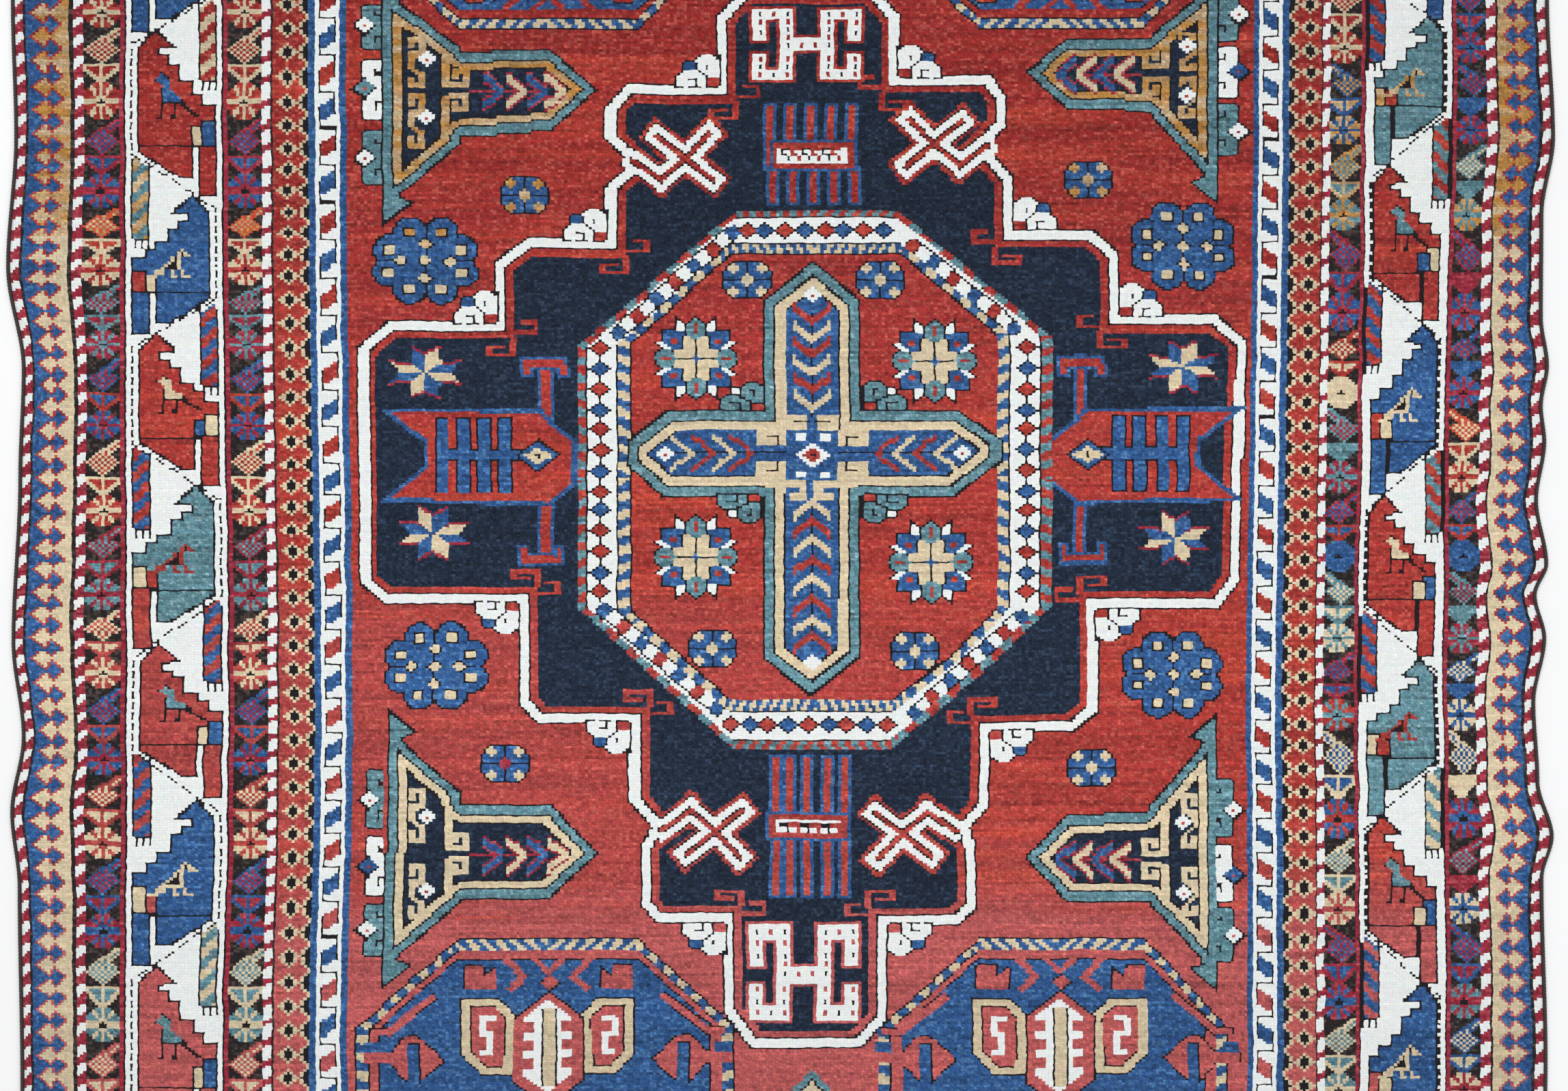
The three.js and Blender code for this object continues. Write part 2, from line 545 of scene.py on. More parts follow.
def main_border(strip, first, width, figures, facing, unit):
    """White ground with figures that face to and fro, and a dotted line between."""
    strip.knots[:, first:first + width] = CODE["W"]
    figures = carried_on(figures, 3)
    line = []
    for number, (top, base, end, wools) in enumerate(figures):
        faces = facing if number % 2 == 0 else -facing
        column = first + (1 if faces > 0 else width - 2)
        line += [(column, (top - 4) * unit), (column, (base - 3) * unit)]
    dotted(strip, line)
    for number, row in enumerate(figures):
        faces = facing if number % 2 == 0 else -facing
        figure(strip, first, width, faces, row, unit)


GOLD_TEETH_FROM = 92  # rows above this have golden teeth, below it cream ones


def draw_border(count, origin, wide, figures, facing, bands, stems, unit, mirror):
    """All the stripes of one side, from the outer edge in.

    wide is for the broader border, on the left. facing is the way its first figure
    faces, stems the way its leaves lean in turn, and unit how many of the strip's
    rows stand for one row of the tables.
    """
    band_width, main_width, zigzag_width = (11, 28, 11) if wide else (10, 26, 10)
    columns = LEFT_COLUMNS if wide else RIGHT_COLUMNS
    strip = Chart(count, columns, origin, 0, "D")
    side = 0 if wide else 1

    def pace(name):
        rows = PACES[name][side]
        return rows if unit == 1 else [row * unit for row in rows]

    run(strip, 0, POLE, pace("outer pole"), 0.25, flip=mirror)
    run(strip, 4, TEETH, pace("teeth"), 0.05)
    golden = strip.along > GOLD_TEETH_FROM * unit
    teeth = strip.knots[:, 4:17]
    teeth[golden[:, None] & (teeth == CODE["C"])] = CODE["G"]
    run(strip, 18, POLE, pace("pole"), 0.25, flip=mirror)
    column = 21
    band(strip, column, band_width, bands[0], unit, stems)
    column += band_width
    strip.knots[:, column] = CODE["P"]
    strip.knots[:, column + 1] = CODE["k"]
    column += 2
    main_border(strip, column, main_width, figures, facing, unit)
    column += main_width
    strip.knots[:, column] = CODE["k"]
    strip.knots[:, column + 1] = CODE["P"]
    column += 2
    band(strip, column, band_width, bands[1], unit, stems)
    column += band_width
    run(strip, column, INNER_POLE, pace("inner pole"), 0.36, flip=mirror)
    column += 4
    run(strip, column, [text[-zigzag_width:] for text in ZIGZAG], pace("zigzag"), 0.06)
    column += zigzag_width
    strip.knots[:, column:column + 12] = CODE["B"]
    column += 2
    strip.knots[:, column:column + 8] = CODE["W"]
    both = [text.replace("M", "R") for text in HOOKS] + [text.replace("M", "B") for text in HOOKS]
    run(strip, column, both, pace("hooks"), 0.14, step=2)
    return strip.knots


def draw_borders(chart):
    """The borders along both sides, and round the two ends with mitred corners."""
    left = draw_border(
        ROWS, MIDDLE_ROW, True, LEFT_FIGURES, -1, (LEFT_BAND, LEFT_BAND), "R", 1, False)
    right = draw_border(
        ROWS, MIDDLE_ROW, False, RIGHT_FIGURES, -1,
        (RIGHT_OUTER_BAND, RIGHT_BAND), "LR", 1, True)[:, ::-1]
    unit = ROW_PITCH / COLUMN_PITCH
    end = draw_border(
        COLUMNS, AXIS_COLUMN, True, LEFT_FIGURES, 1, (LEFT_BAND, LEFT_BAND), "R", unit, False)
    grid = chart.knots
    grid[:, :LEFT_COLUMNS] = left
    grid[:, -RIGHT_COLUMNS:] = right
    share = np.arange(COLUMNS) + 0.5
    from_side = np.minimum(share / LEFT_COLUMNS, share[::-1] / RIGHT_COLUMNS)
    for depth in range(END_ROWS):
        across = (depth + 0.5) / END_ROWS
        stripe = end[:, int(across * LEFT_COLUMNS)]
        shown = from_side > across
        grid[depth, shown] = stripe[shown]
        grid[ROWS - 1 - depth, shown] = stripe[::-1][shown]


# The field. Columns count from the axis of the medallion, positive to the
# right, and rows from its middle, positive upwards.
MEDALLION = [
    (-19.4, 188), (17.4, 188), (25.4, 176.5), (25.4, 153.3), (52.4, 153.3),
    (57, 144.9), (57, 135.2), (50.6, 126.8), (59, 114.4), (59, 94.5), (82.4, 94.5),
    (90, 85.6), (90, 62.1), (119, 62.1), (127.6, 52.2), (126.4, -38.6), (120, -49.9),
    (83.4, -49.9), (83.4, -89.3), (76.6, -96.3), (51.8, -96.3), (51.8, -125.3),
    (45.8, -133.6), (47.8, -142.3), (47.8, -164.5), (43, -170.2), (22, -170.2),
    (22, -206.3), (13.8, -217.8), (-17.2, -217.8), (-25.4, -205), (-25.4, -169.7),
    (-45.2, -169.7), (-49.6, -163.2), (-49.6, -141), (-46.4, -133.4), (-53, -124),
    (-53, -93.5), (-80, -93.5), (-85.8, -86.4), (-85.8, -47.3), (-126, -47.3),
    (-133.2, -40.5), (-133.2, 49.6), (-124.6, 59.3), (-92.4, 59.3), (-92.4, 82.5),
    (-83.2, 91.1), (-60, 91.1), (-60, 112), (-52.2, 120.6), (-60, 129.8),
    (-60, 142.3), (-54.4, 150.1), (-27.4, 150.1), (-27.4, 176.5),
]
CROSSING_CENTRES = [
    (-37.4, 121.9, 1, 1), (36.2, 126.9, -1, 1), (-28.8, -134.5, 1, -1), (27, -135.2, -1, -1),
]
CROSSING_LONG = [(-15.5, 0.1), (-14.7, -0.4), (-6.9, -7.3), (0, 0), (7.5, 10.2)]
CROSSING_SHORT = [(-7.8, 9.2), (8.2, -7.5)]


def rings(chart, points, steps):
    """Nested bands of colour inside a polygon: how far in, then the wool."""
    for columns, rows, wool in steps:
        shape = points if columns == 0 else inset(points, columns, rows)
        chart.fill(shape, wool)


def draw_medallion(chart):
    """The stepped medallion's white outline and its navy ground."""
    steps = [(-1, -1, "k"), (0, 0, "W"), (2.4, 3, "k"), (3.3, 4, "R"), (5.2, 6.1, "N")]
    rings(chart, MEDALLION, steps)


def draw_crossings(chart):
    """The four crossed bands that join the medallion's outline at its corners."""
    for x, y, flip, turn in CROSSING_CENTRES:
        long = moved([(a * flip, b * turn) for a, b in CROSSING_LONG], x, y)
        short = moved([(a * flip, b * turn) for a, b in CROSSING_SHORT], x, y)
        for half_width, wool, only in (
            (13.6, "R", "N"), (10.3, "k", "NR"), (9.3, "W", None),
        ):
            chart.stroke(long[1:], half_width, wool, only)
            chart.stroke(short, half_width, wool, only)
        for half_width, wool in ((3.2, "k"), (1.9, "R")):
            chart.stroke(long, half_width, wool)
            chart.stroke(short, half_width, wool)


SCROLLS = [
    ".......kWWWk.k",
    "......kWWWWWkk",
    "...kkkWWWWWWWk",
    "..kBBBkWWWWWWk",
    "..kBBBkWWkWWWk",
    "..kBBBkWWkWWWk",
    "..kWWWWkWWWWWk",
    ".kWWWWWWkWWWWk",
    "kWWWWWWWWkWWWk",
    "kWWWkkkWWkRRRk",
    "kWWWWWkWWkRRRk",
    "kWWWWWkWWkRRRk",
    "kkk.kkkk.kkkk.",
]
# Where the scrolls sit in the medallion's outer corners: the corner's column and
# row, then which way they are flipped and turned
SCROLL_CORNERS = [
    (-92.4, 59.3, 1, 1), (-60, 91.1, 1, 1), (-27.4, 150.1, 1, 1),
    (90, 62.1, -1, 1), (59, 94.5, -1, 1), (25.4, 153.3, -1, 1),
    (-85.8, -47.3, 1, -1), (-53, -93.5, 1, -1), (-25.4, -169.7, 1, -1),
    (83.4, -49.9, -1, -1), (51.8, -96.3, -1, -1), (22, -170.2, -1, -1),
]


def draw_scrolls(chart):
    """White and blue scrolls in the medallion's outer corners."""
    for x, y, flip, turn in SCROLL_CORNERS:
        left = x - 13 if flip > 0 else x
        top = y + 12 if turn > 0 else y
        chart.stamp(SCROLLS, left, top, flip=flip < 0, turn=turn < 0)


def hook(chart, points, wool):
    """A hooked line two columns wide, given by the corners of its middle line."""
    for (ax, ay), (bx, by) in zip(points, points[1:]):
        left, right = min(ax, bx) - 0.9, max(ax, bx) + 0.9
        low, high = min(ay, by) - 0.7, max(ay, by) + 0.7
        chart.box(left, high, right, low, wool)


def draw_step_hooks(chart):
    """Pairs of small red hooks inside the medallion's steps."""
    for x, y, flip, turn in SCROLL_CORNERS:
        foot = -3.9 if turn > 0 else 3.4
        near = [(6, foot), (11.4, foot), (11.4, foot + 4), (8, foot + 4)]
        far = [(5.2, -6.5), (5.2, -12), (-1.8, -12), (-1.8, -9.2), (2.4, -9.2)]
        hook(chart, [(x + flip * a, y + b) for a, b in near], "R")
        hook(chart, [(x + flip * a, y + turn * b) for a, b in far], "R")


# The central octagon's corners: how far its level sides reach from the axis, and
# the rows where its upright sides end
OCTAGON_SIDE = 23.8
OCTAGON_HIGH = 52
OCTAGON_LOW = -49.5


def octagon(edges, shifts=(0, 0, 0, 0)):
    """An octagon's corners, clockwise from the left end of its upper edge.

    edges are its left, right, lower and upper ones. shifts move its slanting
    sides outwards: upper left, upper right, lower right, lower left. The lower
    right one is bowed out a little.
    """
    left, right, low, high = edges
    side, upper, lower = OCTAGON_SIDE, OCTAGON_HIGH, OCTAGON_LOW
    first, second, third, fourth = shifts
    bow = ((side + right) / 2 + third + 1.1, (low + lower) / 2 - third - 1.4)
    return [
        (-side - first, high), (side + second, high), (right, upper + second + 1),
        (right, lower - third), bow, (side + third, low),
        (-side - fourth, low), (left, lower - fourth), (left, upper + first),
    ]


def grown(edges, columns):
    """An octagon's edges moved outwards."""
    left, right, low, high = edges
    return left - columns, right + columns, low - columns, high + columns


# The central octagon's bands, from outside in: left, right, lower and upper edge,
# then how far the slanting sides stand out
OUTER_GUARD = (-68.6, 70.2, -103.2, 102.4), (-1.2, 1.3, -0.6, 0)
WHITE_BAND = (-66.2, 68, -100.4, 100.5), (-1.7, 0.7, -1.6, -0.5)
INNER_GUARD = (-56.2, 57.6, -88.5, 89.6), (0, 2.6, 0.3, 1.6)
OCTAGON_FIELD = (-53.4, 55, -84.9, 86.7), (-0.2, 2.1, 0.1, 1.1)
DIAMOND_LYING = ["..k...", ".kMk..", "kMMMk.", "MMMMMk", "kMMMk.", ".kMk..", "..k..."]
DIAMOND_STANDING = [
    "...k...", "..kMk..", ".kMMMk.", "kMMMMMk", ".kMMMk.", "..kMk..", "...k...", "...k...",
]


def slanted(chart, points, inner, wools, across, along, lean, share):
    """Colour the space between two polygons with slanting stripes of two wools.

    across and along are the columns and rows that one pair of stripes takes up,
    lean is how much it slants on the level sides, and share is how much closer
    the stripes are on the slanting ones.
    The stripes slant the other way in the quarters where they would run along
    the space instead of across it.
    """
    rows, columns = chart.window(points)
    mask = chart.inside(points, rows, columns) & ~chart.inside(inner, rows, columns)
    (left, low), (right, high) = np.min(points, axis=0), np.max(points, axis=0)
    middle_x, middle_y = (left + right) / 2, (low + high) / 2
    x = chart.across[columns][None, :] - middle_x
    y = chart.along[rows][:, None] - middle_y
    slope = np.where(x * y > 0, 1, -1)
    level = np.abs(x) < points[1][0] - middle_x
    upright = np.abs(y) < points[2][1] - middle_y
    weight_x = np.where(upright, 0.3, np.where(level, 1, share))
    weight_y = np.where(upright, 1, np.where(level, lean, share))
    phase = (weight_y * y / along - weight_x * slope * x / across) % 1
    part = chart.knots[rows, columns]
    part[mask & (phase < 0.5)] = CODE[wools[0]]
    part[mask & (phase >= 0.5)] = CODE[wools[1]]


def draw_octagon(chart):
    """The octagon in the medallion's middle, with its three patterned bands."""
    bands = (OUTER_GUARD, WHITE_BAND, INNER_GUARD, OCTAGON_FIELD)
    outer, white, guard, inside = (octagon(*band) for band in bands)
    slanted(chart, outer, white, "RT", 4, 6.6, 0.6, 0.385)
    chart.fill(white, "k")
    edges, shifts = WHITE_BAND
    chart.fill(octagon(grown(edges, -1), [shift + 0.93 for shift in shifts]), "W")
    edges, shifts = INNER_GUARD
    chart.fill(octagon(grown(edges, 1), [shift - 0.9 for shift in shifts]), "k")
    slanted(chart, guard, inside, "CB", 3.15, 6.8, 0.9, 0.41)
    chart.fill(inside, "k")
    chart.fill(inset(inside, 0.9, 0.9), "R")
    draw_diamonds(chart)
    draw_blocks(chart)


DIAMOND_COLUMNS = 5.78
DIAMOND_ROWS = 7.75


def draw_diamonds(chart):
    """Red and blue diamonds along the octagon's straight sides."""
    for number, wool in enumerate("RBRBRBRB"):
        x = -19 + number * DIAMOND_COLUMNS
        chart.stamp(DIAMOND_LYING, x - 2.5, 97.6, swap={"M": wool})
    for number, wool in enumerate("RBRBRBRBR"):
        x = -23.7 + number * DIAMOND_COLUMNS
        chart.stamp(DIAMOND_LYING, x - 2.5, -91, swap={"M": wool})
    for x, wools in ((-61.6, "RBRBRRBRBRRBR"), (62.6, "RBRBRBRBRBRBR")):
        for number, wool in enumerate(wools):
            y = 49.2 - number * DIAMOND_ROWS
            chart.stamp(DIAMOND_STANDING, x - 3, y + 3.5, swap={"M": wool})


# Coloured blocks on the octagon's slanting sides: the first one's column and
# row, the last one's, how many, and their wools
SLANTING_BLOCKS = [
    (-23.2, 94.4, -56.8, 56, 7, "BR"),
    (29.8, 89, 59.4, 57.4, 6, "RB"),
    (-60.9, -50.4, -28.1, -88, 7, "BR"),
    (61.6, -52.6, 30.1, -89.5, 7, "BR"),
]
BLOCK_HALF = 5.7  # millimetres from a block's middle to each of its edges
HALF_LINE = 0.6  # half the dark line's width round a block
SIDE_LINE = 6.8  # from a block's middle to the fine dark line beside the blocks


def draw_blocks(chart):
    for ax, ay, bx, by, count, wools in SLANTING_BLOCKS:
        run_x = (bx - ax) * COLUMN_PITCH
        run_y = (by - ay) * ROW_PITCH
        length = math.hypot(run_x, run_y)
        ux, uy = run_x / length, run_y / length
        rows, columns = chart.window([(ax, ay), (bx, by)], margin=9)
        x = (chart.across[columns][None, :] - ax) * COLUMN_PITCH
        y = (chart.along[rows][:, None] - ay) * ROW_PITCH
        along = x * ux + y * uy
        across = np.abs(x * uy - y * ux)
        for side in (-SIDE_LINE, SIDE_LINE):
            start_x = ax - side * uy / COLUMN_PITCH
            start_y = ay + side * ux / ROW_PITCH
            staircase(chart, start_x, start_y, bx - ax, by - ay)
        for number in range(count):
            gap = np.abs(along - length * number / (count - 1))
            block = (gap <= BLOCK_HALF + HALF_LINE) & (across <= BLOCK_HALF)
            core = block & (gap <= BLOCK_HALF - HALF_LINE)
            chart.paint(block, rows, columns, "k", "W")
            chart.paint(core, rows, columns, wools[number % 2])


def staircase(chart, x, y, run_x, run_y):
    """A slanting line with one black knot in each row, on white only."""
    for row in range(round(y + run_y), round(y) + 1):
        column = round(x + run_x * (row - y) / run_y) + AXIS_COLUMN
        if chart.knots[row + MIDDLE_ROW, column] == CODE["W"]:
            chart.knots[row + MIDDLE_ROW, column] = CODE["k"]


ROSETTE_QUARTER = [
    "BBkkkkTTRRRTT",
    "BCCCCCCTTTTTk",
    "kCCCCCCTTTTTk",
    "kCCCCCCkTTTk.",
    "kCCCkBBBWWk..",
    "kCCCkBBBBWWk.",
    "kCCCkBRRBBWWk",
    "kCCCkBRRBBk..",
    "TTCCkBBBBBk..",
    "TTTkBBBBBBk..",
    "RTTkBBBBBBk..",
    "RTTkWWkkkkk..",
    "RTTkWWk......",
    "RTTkWWk......",
    "TTk.kWk......",
    "Tk...kk......",
    "k.....k......",
]
ROSETTE_CENTRES = [(-34.4, 45.7), (36, 45.4), (-33.8, -30.5), (34.8, -31.6)]


def four_ways(quarter):
    """A whole motif from the quarter right of and above its middle knot."""
    upper = [text[:0:-1] + text for text in quarter]
    return upper[:0:-1] + upper


def draw_rosettes(chart):
    picture = four_ways(ROSETTE_QUARTER)
    for x, y in ROSETTE_CENTRES:
        chart.stamp(picture, x - 12, y + 16)


CROSS = [
    (0.2, 82.4), (13.8, 67.7), (13.8, 25.7), (42.5, 25.7), (55.2, 14), (55.2, 6.4),
    (41.5, -6.1), (13.8, -6.1), (13.5, -68.4), (-0.4, -82.3), (-13.8, -68.7),
    (-13.6, -6.1), (-43.5, -6.1), (-53.7, 6), (-53.7, 14), (-41.9, 25.7),
    (-13.5, 25.7), (-13.5, 67.7),
]
# Arrowheads inside the arms, from the tip in: the row or column of their points
TOP_ARROWS = [(60.4, "R"), (53.7, "C"), (47.8, "R"), (40.8, "C"), (34.1, "R"), (27.5, "C")]
LOW_ARROWS = [
    (-9, "C"), (-16, "R"), (-23, "C"), (-30.5, "R"), (-38, "C"), (-46, "R"), (-53.5, "C"),
    (-60, "R"),
]
SIDE_ARROWS = [(-35, "C"), (-28.8, "R"), (-22.9, "C"), (-17.6, "R")]
ARM_ROW = 10  # the row that the side arms are centred on
WHITE_FLOWER = ["..W..", ".WWW.", "WWWWW", "WWMWW", ".WWW.", "..W.."]


def arrowhead(chart, x, y, reach, drop, wool, thick=0.9):
    """A V of two strokes from (x, y), reaching out by reach and back by drop."""
    if abs(drop[0]) > abs(drop[1]):
        ends = [(x + drop[0], y + reach), (x + drop[0], y - reach)]
    else:
        ends = [(x + reach, y + drop[1]), (x - reach, y + drop[1])]
    for ex, ey in ends:
        for lift in np.arange(-thick, thick + 0.1, 1.0):
            chart.line([(x, y + lift), (ex, ey + lift)], wool)


def draw_cross(chart):
    """The cross in the octagon: teal, black and cream outlines, and blue arms."""
    steps = [
        (-1, -1, "k"), (0, 0, "T"), (2.4, 2.8, "k"), (3.4, 3.8, "C"),
        (5.6, 6.7, "k"), (6.5, 7.6, "B"),
    ]
    rings(chart, CROSS, steps)
    chart.line([(0, 63), (0, 24)], "k")
    chart.line([(0, -8), (0, -62)], "k")
    chart.line([(-41, ARM_ROW), (-8, ARM_ROW)], "k")
    chart.line([(8, ARM_ROW), (42, ARM_ROW)], "k")
    for row, wool in TOP_ARROWS:
        arrowhead(chart, 0, row, 5.4, (0, 5.5), wool, 1.3)
    for row, wool in LOW_ARROWS:
        arrowhead(chart, 0, row, 5.4, (0, -5.5), wool, 1.3)
    for column, wool in SIDE_ARROWS:
        arrowhead(chart, column, ARM_ROW, 6.2, (-6.4, 0), wool)
        arrowhead(chart, -column + 1, ARM_ROW, 6.2, (6.4, 0), wool)
    chart.stamp(WHITE_FLOWER, -2, 73, swap={"M": "R"})
    chart.stamp(WHITE_FLOWER, -2, -68, swap={"M": "W"})
    chart.stamp(WHITE_FLOWER, -45, 12, swap={"M": "R"})
    chart.stamp(WHITE_FLOWER, 42, 12, swap={"M": "R"})
    draw_cross_middle(chart)


# Hooked cream corners where the arms meet, left of the axis and alike right of
# it: each part's left, upper, right and lower edge
CROSS_HOOKS = [
    (-7.4, 25, -1.2, 18.2, "C"), (-5.2, 22.8, -0.8, 21.6, "k"), (-16.4, 18.2, -7.4, 12.2, "C"),
    (-13.6, 16.4, -9.6, 15.2, "k"), (-10.6, 15.4, -9.6, 12.2, "k"), (-16.4, 6.4, -7.4, 0, "C"),
    (-13.6, 3.4, -9.6, 2.2, "k"), (-10.6, 6.4, -9.6, 3.2, "k"), (-13.6, 0, -1, -3, "C"),
    (-3.2, -3, -1, -8, "C"), (-6.4, -5.6, -1, -8, "C"),
]


def draw_cross_middle(chart):
    """Hooked cream corners, white squares and the diamond where the arms meet."""
    for flip in (1, -1):
        for left, high, right, low, wool in CROSS_HOOKS:
            chart.box(flip * left, high, flip * right, low, wool)
    for x in (-3, 4):
        for y in (16.5, 1.6):
            chart.box(x - 1.8, y + 1.4, x + 1.3, y - 1.5, "W")
    diamonds(chart, 0.4, 9.1, [(5, 5.2, "W"), (2.6, 3.1, "R")])
    chart.box(-0.5, 10, 1.5, 8.4, "k")


def diamonds(chart, x, y, sizes):
    """Diamonds one within another, each given as its half width, half height and wool."""
    for across, along, wool in sizes:
        chart.fill([(x - across, y), (x, y + along), (x + across, y), (x, y - along)], wool)


# The teal scrolls in the cross's corners: the corner, and which way they face
CROSS_SCROLLS = [
    (-13.5, 25.7, 1, 1), (13.8, 25.7, -1, 1), (-13.6, -6.1, 1, -1), (13.8, -6.1, -1, -1),
]
TEAL_SCROLLS = [
    "........kkkk..",
    ".......kTTTTk.",
    "....kkkTTTTTTk",
    "...kWWkTTkkTTk",
    "...kWWkTTTkTTk",
    "..kkkkkTTTkTTk",
    ".kTTTTkkTTTTTk",
    "kTTTTTTTkkTTTk",
    "kTTkkkkTTkkkkk",
    "kTTTTTkTTkRRRk",
    "kTTTTTkTTkRRRk",
    "kkkkkkkkkkkkk.",
]


def draw_cross_scrolls(chart):
    for x, y, flip, turn in CROSS_SCROLLS:
        left = x - 14 if flip > 0 else x + 1
        top = y + 11 if turn > 0 else y
        chart.stamp(TEAL_SCROLLS, left, top, flip=flip < 0, turn=turn < 0)


# The small blue flowers: the middle, then the wools of their hearts and corners
SMALL_FLOWERS = [
    (-18.9, 75.9, "CC"), (19.5, 75.7, "CC"), (-29.2, -64.9, "CC"), (29.8, -66.3, "CC"),
    (-84.4, 107.6, "GG"), (81, 114.4, "GG"), (-89.6, -108.6, "CP"), (82, -111.5, "CC"),
]
FLOWER_QUARTER = [
    "mmkkkkkk",
    "mmBBBBBk",
    "mBBBBBBk",
    "kBBBMBBk",
    "kBBMMMk.",
    "kBBMMMk.",
    "kBBBMk..",
    "kkkkk...",
]


def draw_small_flowers(chart):
    picture = four_ways(FLOWER_QUARTER)
    for x, y, wools in SMALL_FLOWERS:
        chart.stamp(picture, x - 7, y + 7, swap={"M": wools[0], "m": wools[1]})


# The blue rosettes: the middle, then the wool of the upper squares
BIG_ROSETTES = [
    (-113.4, 82.7, "G"), (-110.6, -71.8, "C"), (109, 88.8, "C"), (106.2, -75.2, "C"),
]
LOBES = [(4.7, 10.9), (10.6, 4.3)]


def oval(chart, x, y, across, along, wool):
    points = []
    for step in range(16):
        angle = -2 * math.pi * (step + 0.5) / 16
        points.append((x + across * math.cos(angle), y + along * math.sin(angle)))
    chart.fill(points, wool)


def draw_big_rosettes(chart):
    """Blue rosettes of eight lobes, with a pale square in each."""
    for x, y, top in BIG_ROSETTES:
        spots = [(x + a * flip, y + b * turn) for a, b in LOBES for flip in (1, -1)
                 for turn in (1, -1)]
        for lobe_x, lobe_y in spots:
            oval(chart, lobe_x, lobe_y, 5.4, 6.2, "k")
        for lobe_x, lobe_y in spots:
            oval(chart, lobe_x, lobe_y, 4.4, 5.2, "B")
        oval(chart, x, y, 10.9, 10.8, "B")
        chart.line([(x, y + 12), (x, y - 12)], "k")
        chart.line([(x - 12, y), (x - 9, y)], "k")
        chart.line([(x + 9, y), (x + 12, y)], "k")
        for lobe_x, lobe_y in spots:
            wool = top if lobe_y > y + 8 else "C"
            chart.box(lobe_x - 2, lobe_y + 2.1, lobe_x + 2, lobe_y - 2.1, "k")
            chart.box(lobe_x - 1.3, lobe_y + 1.4, lobe_x + 1.3, lobe_y - 1.4, wool)
        for spot_x, spot_y in ((0, 6.5), (0, 0), (-7.2, 0), (7.2, 0), (0, -6.8)):
            wool = top if spot_y > 3 else "C"
            diamonds(chart, x + spot_x, y + spot_y, [(2.6, 2.8, "k"), (1.8, 2.1, wool)])


# Eight-petalled stars: centre, then 1 or -1 for upright or upside down
PETAL_STARS = [(-113.4, 40.5, 1), (-111, -21.1, -1), (109, 42.6, 1), (106.8, -23, -1)]
LYING_PETAL = [(0, 0), (4.3, 3.3), (10, 3.9), (7, 0)]
STANDING_PETAL = [(0, 0), (0, 6.7), (3.9, 9.3), (4.3, 3.3)]


def draw_petal_stars(chart):
    for x, y, turn in PETAL_STARS:
        for sideways in (1, -1):
            for upright in (1, -1):
                same = sideways * upright > 0
                lying, standing = ("B", "C") if same else ("C", "B")
                if turn < 0:
                    lying, standing = standing, lying
                for petal, wool in ((LYING_PETAL, lying), (STANDING_PETAL, standing)):
                    shape = mirrored(petal, sideways, upright)
                    shape = [(px * 1.04, py * 1.06) for px, py in shape]
                    chart.fill(moved(shape, x, y), wool)
                    edge = moved(shape, x, y)
                    chart.line(edge[1:3], "P")


# The white H-shaped hooks at the medallion's two ends: column, top row, rows
HOOKED_BARS = [(-17, 179.9, 28), (-18, -170.2, 38)]
HOOKED_ROWS = 28  # that the places below are given in
HOOKED_COLUMNS = 32
# The left half's dots, by column and row from its upper corner, and its boxes
DOT_PLACES = [
    (2, 2, "k"), (6, 2, "R"), (10, 2, "k"), (2, 5.5, "R"), (10, 5.5, "R"), (2, 9, "k"),
    (10, 8.5, "k"), (10, 11.2, "R"), (10, 14, "k"), (14, 14, "R"), (2, 18.7, "R"),
    (10, 18.7, "R"), (2, 22, "k"), (10, 22, "k"), (2, 25, "R"), (6, 25, "k"), (10, 25, "R"),
]
HOOKED_BOXES = [
    (0, 0, 12, 4.5), (0, 0, 4, 12), (8, 0, 12, 27.5), (8, 11.8, 16.5, 16.8),
    (0, 17, 4, 27.5), (0, 23, 12, 27.5),
]


def draw_hooked_bars(chart):
    """A white H with hooked ends, dotted with black and red."""
    for left, top, height in HOOKED_BARS:
        scale = height / HOOKED_ROWS
        for grow, wool in ((1, "R"), (0, "W")):
            for a, b, c, d in HOOKED_BOXES:
                for ends in ((a, c), (HOOKED_COLUMNS - c, HOOKED_COLUMNS - a)):
                    chart.box(left + ends[0] - grow, top - b * scale + grow,
                              left + ends[1] + grow, top - d * scale - grow, wool)
        for x, y, wool in DOT_PLACES:
            for column in (x - 0.9, HOOKED_COLUMNS - x - 0.9):
                corner = left + column
                row = top - (y + 0.2) * scale
                chart.box(corner, row + 1, corner + 1.8, row - 1, wool)


# The combs beyond the octagon's two ends: the columns of their prongs, a prong's
# boxes, the bar's edges, and the bar's hooks by first column and rows
COMBS = [
    {
        "columns": (-12, -6.4, -0.4, 5.7, 11.5),
        "prong": [(-2, 143.4, 2, 118, "B"), (-1, 142.6, 1, 118, "R"),
                  (-1.2, 120, 2.8, 105, "B"), (-0.2, 120, 1.8, 105.9, "R")],
        "bar": (-12.9, 129.6, 13.2, 117.8),
        "hooks": (-8.6, 125.6, 124, 123.4, 122),
    },
    {
        "columns": (-10.6, -6, -1, 4.2, 9.2),
        "prong": [(-2, -105.8, 2, -130, "B"), (-1, -106.8, 1, -130, "R"),
                  (-2, -136, 2, -160.5, "B"), (-1, -136, 1, -159.5, "R")],
        "bar": (-13, -127.6, 11.6, -138.5),
        "hooks": (-8.8, -131.6, -133, -133.4, -134.6),
    },
]


